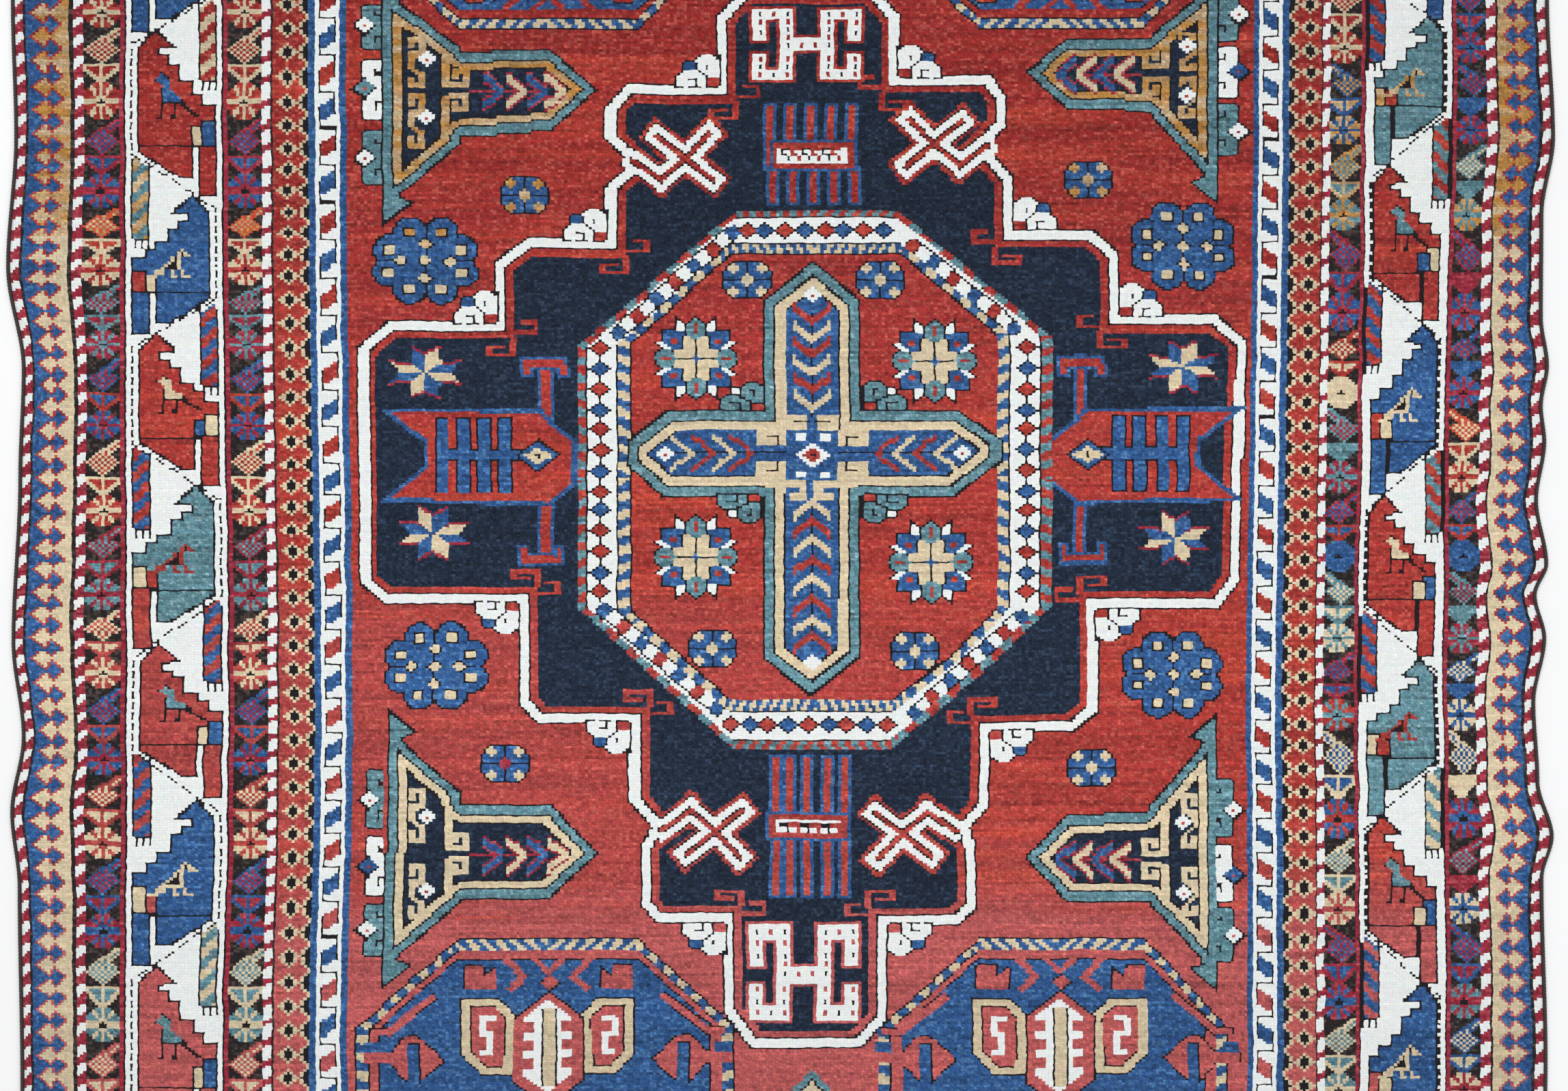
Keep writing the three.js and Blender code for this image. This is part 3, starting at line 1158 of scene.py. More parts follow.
def draw_combs(chart):
    """The red and blue combs, each a bar with prongs above and below it."""
    for comb in COMBS:
        for x in comb["columns"]:
            for left, high, right, low, wool in comb["prong"]:
                chart.box(x + left, high, x + right, low, wool)
        left, high, right, low = comb["bar"]
        for depth, wool in ((0, "B"), (1, "R"), (2.8, "W")):
            chart.box(left + depth, high - depth, right - depth, low + depth, wool)
        first, top, bend, turn, end = comb["hooks"]
        for number in range(6):
            x = round(first + 3 * number, 1)
            corners = [(x + 2, top), (x, top), (x, bend), (x + 2, turn), (x + 2, end)]
            chart.line(corners, "kR"[number % 2])


# The teal brackets at the field's sides, pointing away from the border. Columns
# count from the outer edge of the stem and rows from the bracket's axis. Above
# and below the axis come the stem's tip, the step at the neck, and the arm's
# edge at its near and its far end.
BRACKETS = [
    {
        "column": -125, "row": 148, "side": 1, "wool": "G", "lean": 0,
        "neck": 21.8, "bar": 16.6, "shoulder": 48.2, "reach": 61,
        "above": (44, 1.6, 14.9, 15.2), "below": (49.9, 2.8, 17, 14.4),
        "hooks": ((20, 19), (-1, 21)), "flowers": (12, -10.3),
    },
    {
        "column": -125, "row": -144.2, "side": 1, "wool": "C", "lean": 0.012,
        "neck": 21.8, "bar": 17.2, "shoulder": 48.2, "reach": 61.4,
        "above": (54.3, 4.6, 18.4, 18.4), "below": (49.4, 1.6, 16, 16),
        "hooks": ((25, 21), (-3.5, 21)), "flowers": (14.3, -14),
    },
    {
        "column": 118.7, "row": 154.4, "side": -1, "wool": "G", "lean": 0,
        "neck": 18.8, "bar": 14.6, "shoulder": 43.6, "reach": 55.2,
        "above": (42, 1.2, 13.3, 13.2), "below": (48.3, 1.6, 13.8, 12.6),
        "hooks": ((16, 15), (-1.5, 16)), "flowers": (11, -7.9),
    },
    {
        "column": 119.4, "row": -146.2, "side": -1, "wool": "C", "lean": 0,
        "neck": 20, "bar": 15, "shoulder": 44.6, "reach": 56.2,
        "above": (54.5, 2.4, 18.3, 16.4), "below": (48.7, 1.6, 15.5, 14.9),
        "hooks": ((25, 21), (-3.3, 19)), "flowers": (13.8, -12.8),
    },
]
GREEK = [".GGGGG", ".GGGGG", ".GG.GG", ".GG.GG", "....GG", "GGGGGG", "GGGGGG"]
HOOK_COLUMN = [
    "GGGGG", "GGGGG", "GG.GG", "GG.GG", "...GG", "GGGGG", "GGGGG", "GGG..", "GG...", "GG...",
    "GG...", ".GG..", "..GGG", "...GG", "GG.GG", "GG.GG", "GGGGG", "GGGGG",
]
STEM_BLOCK = [
    ".kkkkk", "kMMMMM", "kMMMMM", "kMMMkM", "kMMMkk", "kMMMMM", "kMMMMM", "kMMMMM",
    "kMMMMM", "kMMMMM", "kMMMMM", "kMMMMM", "kMMMkk", "kMMMkM", "kMMMkM", "kMMMMM",
    "kMMMMM", ".kkkkk",
]
# The blocks on the stems' outer sides: each one's upper and lower row, its wool
# and its flower's, and the flower's row
STEM_BLOCKS = [
    [(180, 164, "T", "W", 172.7), (159, 137, "W", "T", 149), (132, 112, "T", "W", 122.4)],
    [(-112, -134, "T", "W", -123), (-138, -160, "W", "B", -149), (-164, -183, "T", "W", -173)],
    [(187, 167, "T", "W", 176.6), (164, 145, "W", "B", 155), (142, 122.7, "T", "W", 132)],
    [(-116, -137, "T", "W", -127), (-141, -162, "W", "B", -152), (-165, -185, "T", "W", -175)],
]
# The arrowheads on the arms, as columns from the tip, on the left and the right
LEFT_ARROWS = [(27, "B"), (20.3, "C"), (14.3, "B"), (8.9, "C")]
RIGHT_ARROWS = [(25, "C"), (19.6, "B"), (14, "C"), (8.4, "B")]


def draw_brackets(chart):
    for bracket, blocks in zip(BRACKETS, STEM_BLOCKS):
        draw_bracket(chart, bracket)
        draw_stem_blocks(chart, round(bracket["column"]), bracket["side"], blocks)


def bracket_edge(bracket, part, half, barb):
    """One half of a bracket's outline, from the stem's tip to the arm's shoulder."""
    tip, step, near, far = bracket[part]
    neck = bracket["neck"]
    stem = [(0, tip), (7, tip - 7), (3.2, tip - 8.8)] if barb else [(0, tip - 6)]
    slant = [(3.6, tip - 11), (neck - 0.2, near + step)]
    arm = [(neck, near), (bracket["shoulder"], far)]
    return [(x, half * y) for x, y in stem + slant + arm]


def bracket_outline(bracket, barb):
    above = bracket_edge(bracket, "above", 1, barb)
    below = bracket_edge(bracket, "below", -1, barb)
    return above + [(bracket["reach"], 0.8)] + below[::-1]


def draw_bracket(chart, bracket):
    """A teal-edged head on a stem, with hooks and arrowheads on its navy ground."""
    side, wool, neck, bar = (bracket[name] for name in ("side", "wool", "neck", "bar"))

    def place(x, y):
        return bracket["column"] + side * x + bracket["lean"] * y, bracket["row"] + y

    def placed(points):
        return [place(x, y) for x, y in points[::side]]

    def stamped(picture, left, top, turn=False, height=None):
        column, row = place(left, top)
        column -= 0 if side > 0 else len(picture[0]) - 1
        chart.stamp(picture, column, row, swap={"G": wool}, flip=side < 0, turn=turn,
                    height=height)

    outline = placed(bracket_outline(bracket, True))
    outlined(chart, outline, "T")
    bars = []
    for part, near_row, half in (("above", 1.8, 1), ("below", 1, -1)):
        far_row = bracket[part][1] + bracket[part][2] + 1
        low, high = sorted((half * near_row, half * far_row))
        bars.append(placed(four_corners(bar, high, bar + 2, low)))
    bracket_bands(chart, placed(bracket_outline(bracket, False)), bars, wool)
    stamped(GREEK, bar + 2, 8.4)
    stamped(GREEK, bar + 2, -1, turn=True)
    for top, height in bracket["hooks"]:
        stamped(HOOK_COLUMN, 6.6, top, height=height)
    chart.line(placed([(bar + 8, 0), (bracket["reach"] - 15, 0)]), "P")
    for back, arrow in LEFT_ARROWS if side > 0 else RIGHT_ARROWS:
        px, py = place(bracket["reach"] - back, 0)
        for thick, colour in ((2, "P"), (1, arrow)):
            arrowhead(chart, px, py, 5.4, (-5 * side, 0), colour, thick)
    for row in bracket["flowers"]:
        px, py = place(neck - 9.6, row)
        diamonds(chart, px, py, [(3.6, 4.4, "N")])
        white_flower(chart, px, py, "W", "R")


def draw_stem_blocks(chart, x, flip, blocks):
    """Hooked blocks along a stem's outer side, each with a flower over its edge."""
    for top, low, wool, petals, row in blocks:
        left = x - 7 if flip > 0 else x + 1
        height = int(round(top - low)) + 2
        chart.stamp(STEM_BLOCK, left, top + 1, swap={"M": wool}, flip=flip < 0, height=height)
        px = x - flip * 6.4
        diamonds(chart, px, row, [(3.8, 4.6, "k")])
        white_flower(chart, px, row, petals, "R")


def white_flower(chart, x, y, petals, middle):
    chart.stamp(WHITE_FLOWER, round(x) - 2, round(y) + 3, swap={"W": petals, "M": middle})


def bracket_bands(chart, points, bars, wool):
    """A bracket's nested outlines, each drawn in from the last by whole knots."""
    rows, columns = chart.window(points, margin=4)
    mask = chart.inside(points, rows, columns)
    band = worn_in(mask, 3, 4)
    ground = worn_in(mask, 5, 6)
    chart.paint(worn_in(mask, 2, 3), rows, columns, "k")
    chart.paint(band, rows, columns, wool)
    chart.paint(ground, rows, columns, "k")
    chart.paint(worn_in(mask, 6, 7), rows, columns, "N")
    for bar in bars:
        chart.paint(ground & chart.inside(inset(bar, -1, 0), rows, columns), rows, columns, "k")
        chart.paint(band & chart.inside(bar, rows, columns), rows, columns, wool)


def worn_in(mask, across, along):
    """A mask's knots that lie deeper in it than some columns and rows."""
    result = mask.copy()
    for dy in range(-along, along + 1):
        for dx in range(-across, across + 1):
            if (dx / across) ** 2 + (dy / along) ** 2 > 1:
                continue
            result &= np.roll(mask, (dy, dx), axis=(0, 1))
    return result


# The shield-like figures in the medallion's side arms, drawn for the left one:
# columns from its face, rows from the medallion's middle
SHIELD = [
    (-53.6, 25.3), (-9.4, 24.8), (-6.2, 19.8), (0, 13.8), (0, -1.6), (-7, -9.1),
    (-9.4, -8.9), (-53.6, -7.6), (-42, 4.4), (-42.4, 14.9),
]
SHIELD_BARS = [-38.2, -31.8, -25.6, -19.6]
# The small combs above and below each shield: left, upper, right and lower edge
SHIELD_COMBS = [
    (-9.8, 47, -5.6, 13, "B"), (-8.8, 46, -6.6, 13, "R"), (-15, 46.4, -1.2, 41.4, "B"),
    (-15.6, 43, -11.6, 38.4, "B"), (-4.4, 43, -0.6, 38.4, "B"), (-13.9, 45.4, -2.2, 42.4, "R"),
    (-14.6, 43.4, -12.6, 39.4, "R"), (-3.6, 43.4, -1.6, 39.4, "R"), (-9.8, -8, -5.6, -33.4, "B"),
    (-8.8, -8, -6.6, -32.3, "R"), (-16, -28.8, -1.8, -33.4, "B"), (-14.8, -29.9, -3, -32.3, "R"),
    (-16, -25, -12.8, -30, "B"), (-14.8, -26, -13.4, -31, "R"), (-5, -25, -1.8, -30, "B"),
    (-4.2, -26, -3, -31, "R"),
]
# The face's column, 1 for the left one and -1 for the right, and a row's shift
SHIELDS = [(-70.2, 1, 0), (70.8, -1, 0.4)]


def draw_shields(chart):
    for x, flip, y in SHIELDS:
        def placed(points):
            return moved(mirrored(points, flip), x, y)

        def blocks(parts):
            for left, high, right, low, wool in parts:
                chart.fill(placed(four_corners(left, high, right, low)), wool)

        blocks(SHIELD_COMBS)
        outline = placed(SHIELD)
        chart.fill(inset(outline, -1.4, -1.6), "B")
        chart.fill(outline, "R")
        blocks([(-37.4, 11.8, -13.4, 6.6, "k")])
        blocks([(bar - 2.4, 23.8, bar + 2.4, -5.8, "k") for bar in SHIELD_BARS])
        blocks([(-36.8, 10.7, -14, 7.6, "B")])
        blocks([(bar - 1.5, 23, bar + 1.5, -5, "B") for bar in SHIELD_BARS])
        sizes = [(7, 6.8, "k"), (5.9, 5.7, "B"), (4.2, 3.6, "C"), (1, 1.2, "k")]
        diamonds(chart, x - flip * 10.2, y + 8.6, sizes)


# The pairs of small octagons at the field's two ends: the middle column, then
# the left and right edges, and the columns where the slants begin
PAIR_ROW = 248.6
PAIR_HALF_ROWS = 72
PAIRS = [
    (-77.3, -133.6, -23.2, -103.4, -51), (72.8, 20, 123, 49.3, 97),
]
PAIR_LIFT = {1: -4, -1: 0}  # rows that the far pair stands nearer the middle
# The figures inside, in columns from the octagon's middle and rows from a line
# near its end. All but the lantern and the tree come on both sides.
PAIR_HOOK = [
    (-24.4, 6), (-19.3, 6.4), (-19, 1.5), (-15.4, 5.2), (-15.3, -2.7), (-24.4, -2.7),
]
PAIR_FORK = [(-13.9, 11), (-7.3, 1.8), (-11, -2.4)]
PAIR_BOX = [
    (-25.3, -6.4), (-14.8, -6.4), (-9.7, -12.9), (-10.6, -35.2), (-19.3, -35.2), (-25.3, -27.3),
]
PAIR_LANTERN = [(0, -4), (9.7, -13.8), (9.7, -37.5), (0, -47.5), (-9.7, -37.5), (-9.7, -13.8)]
PAIR_TREE = [
    (0, -6.4), (-6.9, -13.3), (-6.9, -14.6), (-3.9, -14.6), (-3.9, -18.6), (-7.2, -18.6),
    (-7.2, -21.6), (-3.9, -21.6), (-3.9, -25.8), (-7.2, -25.8), (-7.2, -28.8), (-3.9, -28.8),
    (-3.9, -33), (-7.2, -33), (-7.2, -35), (0, -42.4),
]
PAIR_ARROW = [
    (-54, -27), (-46, -27), (-42.7, -21.9), (-40, -20.3), (-36.7, -22.3), (-30.7, -29.7),
    (-37.6, -37.5), (-41.5, -37.5), (-46.6, -30.5), (-54, -30.5),
]
PAIR_SIDE_BAND = [(-51, -18.7), (-46.5, -18.7), (-34, -6)]


def draw_pairs(chart):
    for turn in (-1, 1):
        for middle, left, right, slant_left, slant_right in PAIRS:
            draw_small_octagon(chart, turn, middle, left, right, slant_left, slant_right)


def draw_small_octagon(chart, turn, middle, left, right, slant_left, slant_right):
    """A small octagon with a checked edge, and hooked figures on blue inside."""
    row = turn * (PAIR_ROW + PAIR_LIFT[turn])
    high, low = row + PAIR_HALF_ROWS, row - PAIR_HALF_ROWS
    shoulder = PAIR_HALF_ROWS - 34
    shape = [
        (slant_left, high), (slant_right, high), (right, row + shoulder),
        (right, row - shoulder), (slant_right, low), (slant_left, low),
        (left, row - shoulder), (left, row + shoulder),
    ]
    inside = narrowed(shape, 3, 3.4)
    chart.fill(inset(shape, -0.7, -0.7), "k")
    slanted(chart, shape, inside, "CB", 4.4, 7, 1.3, 0.6)
    chart.fill(inside, "k")
    for columns, rows, wool in ((0.7, 0.7, "R"), (3.2, 3.2, "k"), (4, 4, "B")):
        chart.fill(narrowed(inside, columns, rows), wool)
    for half in (1, -1):
        near = row + half * (PAIR_HALF_ROWS - 16)
        draw_half(chart, middle, near, half)
    for column in (middle - 38, middle + 38):
        diamonds(chart, column, row, [(5.6, 15, "k"), (4.6, 13.4, "R"), (1.6, 6, "B")])
    diamonds(chart, middle, row, [(5, 6.4, "k"), (4, 5.2, "C"), (2, 2.6, "R")])


NARROWED_SLANT = 0.66


def narrowed(shape, columns, rows):
    """An octagon drawn in, less along its slanting sides than the others."""
    drawn = inset(shape, columns, rows)
    less = inset(shape, columns * NARROWED_SLANT, rows * NARROWED_SLANT)
    corners = []
    for index, (x, y) in enumerate(drawn):
        near = less[index]
        other = less[(index + 1) % 8] if index % 2 else less[index - 1]
        if index in (0, 1, 4, 5):
            share = (y - near[1]) / (other[1] - near[1])
            corners.append((near[0] + (other[0] - near[0]) * share, y))
        else:
            share = (x - near[0]) / (other[0] - near[0])
            corners.append((x, near[1] + (other[1] - near[1]) * share))
    return corners


# The white hook in each box: left, upper, right and lower edges of its parts
PAIR_BOX_HOOK = [
    (-20, -12.9, -15.5, -14.9), (-20.6, -13.4, -18.6, -21), (-20, -19, -15.9, -21),
    (-17.8, -20, -15.8, -28.2), (-20.2, -26.1, -15.9, -28.2),
]


def draw_half(chart, middle, row, half):
    """The figures in one half of a small octagon, alike on both its sides."""
    def placed(points, side):
        return moved(mirrored(points, side, half), middle, row)

    def block(side, wool, *edges):
        chart.fill(placed(four_corners(*edges), side), wool)

    for side in (1, -1):
        chart.stroke(placed([(-5.6, 10.5), (-0.5, 4.4)], side), 2.6, "R")
        chart.stroke(placed(PAIR_FORK, side), 3.3, "R")
        outlined(chart, placed(PAIR_HOOK, side), "R", 0.6)
        box = placed(PAIR_BOX, side)
        outlined(chart, box, "C", 0.6)
        chart.fill(inset(box, 2.4, 2.4), "k")
        chart.fill(inset(box, 3, 3), "R")
        for edges in PAIR_BOX_HOOK:
            block(side, "W", *edges)
        chart.stroke(placed(PAIR_SIDE_BAND, side), 4.1, "k")
        chart.stroke(placed(PAIR_SIDE_BAND, side), 3.2, "R")
        block(side, "B", -54, -22.6, -49.2, -26.6)
        outlined(chart, placed(PAIR_ARROW, side), "R", 0.6)
        block(side, "k", -41.6, -22.6, -37.4, -38.4)
        block(side, "B", -41, -23.4, -38, -38.4)
    outlined(chart, placed(PAIR_LANTERN, 1), "R", 0.8)
    for side in (1, -1):
        chart.fill(placed(PAIR_TREE, side), "W")
    block(1, "k", -2.4, -10.3, 2.4, -39.5)
    block(1, "C", -1.6, -10.3, 1.6, -39.5)
    diamonds(chart, middle + 0.4, row, [(3.4, 3.4, "k"), (2.6, 2.8, "R")])


# The heads between the pairs of octagons, pointing to the medallion
END_HEAD = [
    (0, 226), (10.5, 240), (10.5, 290), (24, 306), (24, 340), (-24, 340), (-24, 306),
    (-10.5, 290), (-10.5, 240),
]
END_ARROWS = [(242, "B"), (250, "C"), (258, "B"), (266, "C"), (274, "B")]


def draw_end_heads(chart):
    for turn in (1, -1):
        points = mirrored(END_HEAD, 1, turn)
        outlined(chart, points, "T")
        bracket_bands(chart, points, [], "C")
        for row, wool in END_ARROWS:
            for thick, colour in ((1.9, "P"), (0.9, wool)):
                arrowhead(chart, 0, turn * row, 4.6, (0, turn * 5), colour, thick)


def draw_design():
    chart = Chart(ROWS, COLUMNS, MIDDLE_ROW, AXIS_COLUMN, "R")
    for draw in (
        draw_pairs, draw_end_heads, draw_medallion, draw_crossings, draw_scrolls,
        draw_step_hooks, draw_shields, draw_octagon, draw_rosettes, draw_cross,
        draw_cross_scrolls, draw_brackets, draw_small_flowers, draw_big_rosettes,
        draw_petal_stars, draw_hooked_bars, draw_combs, draw_borders,
    ):
        draw(chart)
    return chart.knots


# The rug's own sizes in millimetres, as in the CAD part
LENGTH = 2330
WIDTH = 1466
PILE_HEIGHT = 7
WEB_HEIGHT = 2.5
WEB_LENGTH = 14
SELVEDGE_WIDTH = 5
SELVEDGE_HEIGHT = 5
SEAM_GAP = 0.3

# Where each side stands out from straight: distance along the rug, then how far
LEFT_SIDE = [
    (1165, -2), (960, 3), (760, -3), (610, 2), (457, 4.6), (327, 1.3), (202, 9.1),
    (104, -5.9), (0, -2.6), (-157, 3.9), (-248, -5.9), (-320, 5.2), (-392, -2),
    (-581, -4.6), (-780, 3), (-980, -2), (-1165, 1),
]
RIGHT_SIDE = [
    (1165, 1), (940, -3), (720, 4), (560, -1), (457, 3.3), (326, 9.1), (252, -2),
    (154, -2.6), (108, 3.3), (69, -2.6), (35, 0.7), (-21, -7.2), (-82, 2.6),
    (-112, -8.5), (-153, 0.7), (-215, -9.8), (-290, -5.9), (-343, 7.8), (-383, -2),
    (-558, 2), (-760, -4), (-970, 2), (-1165, -1),
]

# Where the stripes of the borders begin and end: column, then millimetres from
# the rug's middle line
STRIPE_EDGES = [
    (0, -729), (3, -721.6), (4, -719.3), (17, -679.1), (18, -675.2), (21, -666),
    (32, -632.1), (34, -625.6), (62, -535.5), (64, -528.9), (75, -496.3),
    (78, -487.8), (79, -485.8), (90, -451.2), (92, -445.3), (100, -421.8),
    (102, -415.3), (368, 452.5), (370, 457.8), (378, 480.6), (380, 486.5),
    (390, 517.8), (391, 519.1), (394, 526.3), (404, 555.7), (406, 560.9),
    (432, 641.2), (434, 647.1), (444, 676.5), (447, 686.3), (448, 688.3),
    (461, 725.5), (462, 728.7), (465, 736.8),
]

# How far the borders wander across the rug: distance along, then millimetres
LEFT_DRIFT = [(358, 0), (196, 0.7), (0, 4), (-196, 6.5), (-360, 5.2), (-490, 0.7)]
RIGHT_DRIFT = [(392, 0), (196, -1.6), (0, -4.6), (-196, -7.8), (-385, -6), (-490, -6)]
RIGHT_OUTER_DRIFT = [(326, 0), (65, -7.2), (-196, -9.1), (-457, -5.9)]

# How far below the tips of the pile some wools have worn, in millimetres
WORN = {"k": 0.5, "D": 1.1, "N": 0.1}


def stand_out(side, along):
    """How far a side stands out at some distances along the rug."""
    at = np.array([row[0] for row in side], dtype=float)
    out = np.array([row[1] for row in side], dtype=float)
    along = np.clip(along, at[-1], at[0])
    after = np.clip(np.searchsorted(-at, -along, side="left"), 1, len(at) - 1)
    share = (at[after - 1] - along) / (at[after - 1] - at[after])
    share = share * share * (3 - 2 * share)
    return out[after - 1] + (out[after] - out[after - 1]) * share


def left_edge(along):
    return -WIDTH / 2 - stand_out(LEFT_SIDE, along)


def right_edge(along):
    return WIDTH / 2 + stand_out(RIGHT_SIDE, along)


def wander(table, along):
    """A drift table's value at some distances along the rug."""
    table = table[::-1]
    return np.interp(along, [row[0] for row in table], [row[1] for row in table])


def soft_noise(shape, rows, columns, random):
    """Smooth noise over a grid, from -1 to 1, in patches of some rows and columns."""
    tall = max(int(shape[0] / rows), 1) + 3
    wide = max(int(shape[1] / columns), 1) + 3
    coarse = random.uniform(-1, 1, (tall, wide))
    y = np.arange(shape[0]) / rows
    x = np.arange(shape[1]) / columns
    row, column = y.astype(int), x.astype(int)
    v, u = (y - row)[:, None], (x - column)[None, :]
    v, u = v * v * (3 - 2 * v), u * u * (3 - 2 * u)
    near = coarse[row][:, column] * (1 - u) + coarse[row][:, column + 1] * u
    far = coarse[row + 1][:, column] * (1 - u) + coarse[row + 1][:, column + 1] * u
    return near * (1 - v) + far * v


def layered(shape, layers, random):
    total = 0
    for strength, rows, columns in layers:
        total = total + strength * soft_noise(shape, rows, columns, random)
    return total


def knot_places():
    """Where the corners of the knots lie across the rug, as rows by columns.

    The borders follow the rug's wavy sides, and the field hardly does.
    """
    along = (np.arange(ROWS + 1) - ROWS / 2) * ROW_PITCH
    straight = np.interp(np.arange(COLUMNS + 1), *zip(*STRIPE_EDGES))
    left = left_edge(along) + SELVEDGE_WIDTH + SEAM_GAP - straight[0]
    right = right_edge(along) - SELVEDGE_WIDTH - SEAM_GAP - straight[-1]
    inner_left = wander(LEFT_DRIFT, along)
    inner_right = wander(RIGHT_DRIFT, along)
    outer_right = wander(RIGHT_OUTER_DRIFT, along)
    still = np.zeros_like(along)
    anchors = [
        (0, left),
        (32, 0.2 * inner_left),
        (62, inner_left),
        (LEFT_COLUMNS, inner_left),
        (LEFT_COLUMNS + 24, still),
        (LEFT_COLUMNS + FIELD_COLUMNS - 24, still),
        (LEFT_COLUMNS + FIELD_COLUMNS, inner_right),
        (404, inner_right),
        (432, outer_right),
        (COLUMNS, right),
    ]
    columns = np.arange(COLUMNS + 1)
    at = [anchor[0] for anchor in anchors]
    shift = np.stack([values for place, values in anchors], axis=1)
    moved_by = np.array([np.interp(columns, at, row) for row in shift])
    return straight[None, :] + moved_by, along


def linear(colour):
    """A colour of 0 to 255 as the light values that shaders work in."""
    value = np.asarray(colour, dtype=float) / 255
    return np.where(value <= 0.04045, value / 12.92, ((value + 0.055) / 1.055) ** 2.4)


# How each wool varies, as shares of its brightness: in streaks along the rows, from
# row to row over the whole width, from knot to knot, and with its fibres. The last
# share also sets how deep the painted shade in the gaps between knots is.
VARIATION = {
    "k": (0.06, 0.06, 0.06, 0.25),
    "D": (0.06, 0.06, 0.06, 0.3),
    "N": (0.13, 0.08, 0.26, 0.36),
    "B": (0.24, 0.11, 0.22, 0.36),
    "T": (0.24, 0.16, 0.22, 0.34),
    "R": (0.24, 0.1, 0.19, 0.28),
    "P": (0.2, 0.06, 0.18, 0.26),
    "O": (0.06, 0.06, 0.06, 0.25),
    "G": (0.2, 0.08, 0.18, 0.26),
    "C": (0.12, 0.06, 0.1, 0.14),
    "W": (0.03, 0.01, 0.03, 0.045),
}

# Single knots of another shade: the tint, and how far they go towards it
FLECKS = [
    ("N", (58, 78, 104), 0.4),
    ("D", (108, 94, 86), 0.4),
    ("B", (100, 150, 200), 0.4),
    ("T", (160, 192, 198), 0.35),
    ("R", (222, 116, 100), 0.3),
    ("P", (206, 104, 110), 0.35),
]

# The red wool's dye lots, and the row that each is at its purest in, from the far
# end down
DEEP_RED = (143, 38, 36)
MADDER = (157, 48, 46)
BRICK = (169, 53, 48)
ROSE = (169, 66, 64)
OLD_PINK = (177, 84, 85)
RED_LOTS = [
    (130, DEEP_RED), (65, MADDER), (5, BRICK), (-125, BRICK), (-152, ROSE), (-172, OLD_PINK),
]
# The red has faded to rose at the left, over these rows: from where, fully, to where
FADED_ROWS = (-165, -150, -60, -30)
FADED_TO = 360  # the column, counted from the left, that the fading reaches
FADE_COLUMNS = 210  # over which it grows

# Some patches are warmer, above the row where the pink lots begin
PINK_FROM = -163
ORANGE_RED = (200, 74, 52)
WARM_SHARE = 0.45

# How bright the other dyed wools are, from the far end down
BRIGHTNESS = [
    (183, 0.78), (110, 0.84), (60, 0.95), (0, 1.04), (-130, 1.06), (-180, 0.92), (-230, 0.86),
]

# Layers of noise: how strong each is, then the rows and columns of its patches
LOT_EDGES = [(7, 1, 30), (3, 1, 7)]
WARM_PATCHES = [(1, 4, 60), (0.5, 22, 90)]
STREAKS = [(0.55, 1, 28), (0.4, 7, 60), (0.45, 1, 8)]
FLECK_PATCHES = [(0.8, 1, 1.7)]
SWELLS = [(0.25, 37, 30), (0.15, 9, 7)]
SLOW_BENDS = [(0.9, 60, 48)]
QUICK_BENDS = [(0.8, 14, 11), (0.4, 5, 2)]
SWAYS = [(0.9, 11, 14), (0.5, 1.7, 5)]


def blend(colours, tint, share, where):
    """Move some knots' colours towards a tint by each one's share."""
    share = np.where(where, share, 0)[..., None]
    return colours * (1 - share) + linear(tint) * share


def red_lots(rows, columns):
    """The red wool's colour at some rows and columns: its lot, faded at the left."""
    at = [-row for row, lot in RED_LOTS]
    table = linear([lot for row, lot in RED_LOTS])
    lots = np.stack([np.interp(-rows, at, table[:, band]) for band in range(3)], axis=2)
    to_left = np.clip((FADED_TO - columns) / FADE_COLUMNS, 0, 1)
    share = (to_left * np.interp(rows, FADED_ROWS, (0, 1, 1, 0)))[..., None]
    return lots * (1 - share) + linear(ROSE) * share


def knot_colours(knots, random):
    """The wool colour of every knot, with its lot's bands and its own shade."""
    palette = np.array([linear(WOOL[letter]) for letter in LETTERS])
    colours = palette[knots]
    shape = knots.shape
    rows = np.arange(ROWS)[:, None] - MIDDLE_ROW
    ragged = rows + layered(shape, LOT_EDGES, random)
    red = knots == CODE["R"]
    colours = np.where(red[..., None], red_lots(ragged, np.arange(COLUMNS)), colours)
    warm = np.clip(layered(shape, WARM_PATCHES, random), 0, 1)
    colours = blend(colours, ORANGE_RED, WARM_SHARE * warm * (ragged > PINK_FROM), red)
    straw = np.clip(0.28 + 0.6 * soft_noise(shape, 2.4, 9, random), 0, 1)
    colours = blend(colours, WOOL["C"], straw, knots == CODE["G"])
    fleck = random.uniform(-1.2, 1, shape) + layered(shape, FLECK_PATCHES, random)
    for letter, tint, share in FLECKS:
        colours = blend(colours, tint, share * np.clip(fleck, 0, 1), knots == CODE[letter])
    variation = np.array([VARIATION[letter] for letter in LETTERS])[knots]
    streak = layered(shape, STREAKS, random)
    by_row = soft_noise((ROWS, 1), 1, 1, random)
    own = random.normal(0, 1, shape).clip(-2, 2)
    shade = streak * variation[..., 0] + by_row * variation[..., 1]
    shade += own * variation[..., 2] * 0.7
    at, bright = zip(*BRIGHTNESS[::-1])
    steady = np.interp(ragged, at, bright)
    dyed = np.isin(knots, [CODE[letter] for letter in "NBTGC"])
    steady = np.where(dyed, steady, 0.75 + 0.25 * steady)
    steady = np.where(red, 1, steady)
    colours = colours * (steady * np.clip(1 + shade, 0.35, 1.9))[..., None]
    tint = 1 + 0.025 * random.normal(0, 1, shape + (3,)).clip(-2, 2)
    colours = np.clip(colours * tint, 0, 1)
    return np.concatenate([colours, variation[..., 3:]], axis=2)


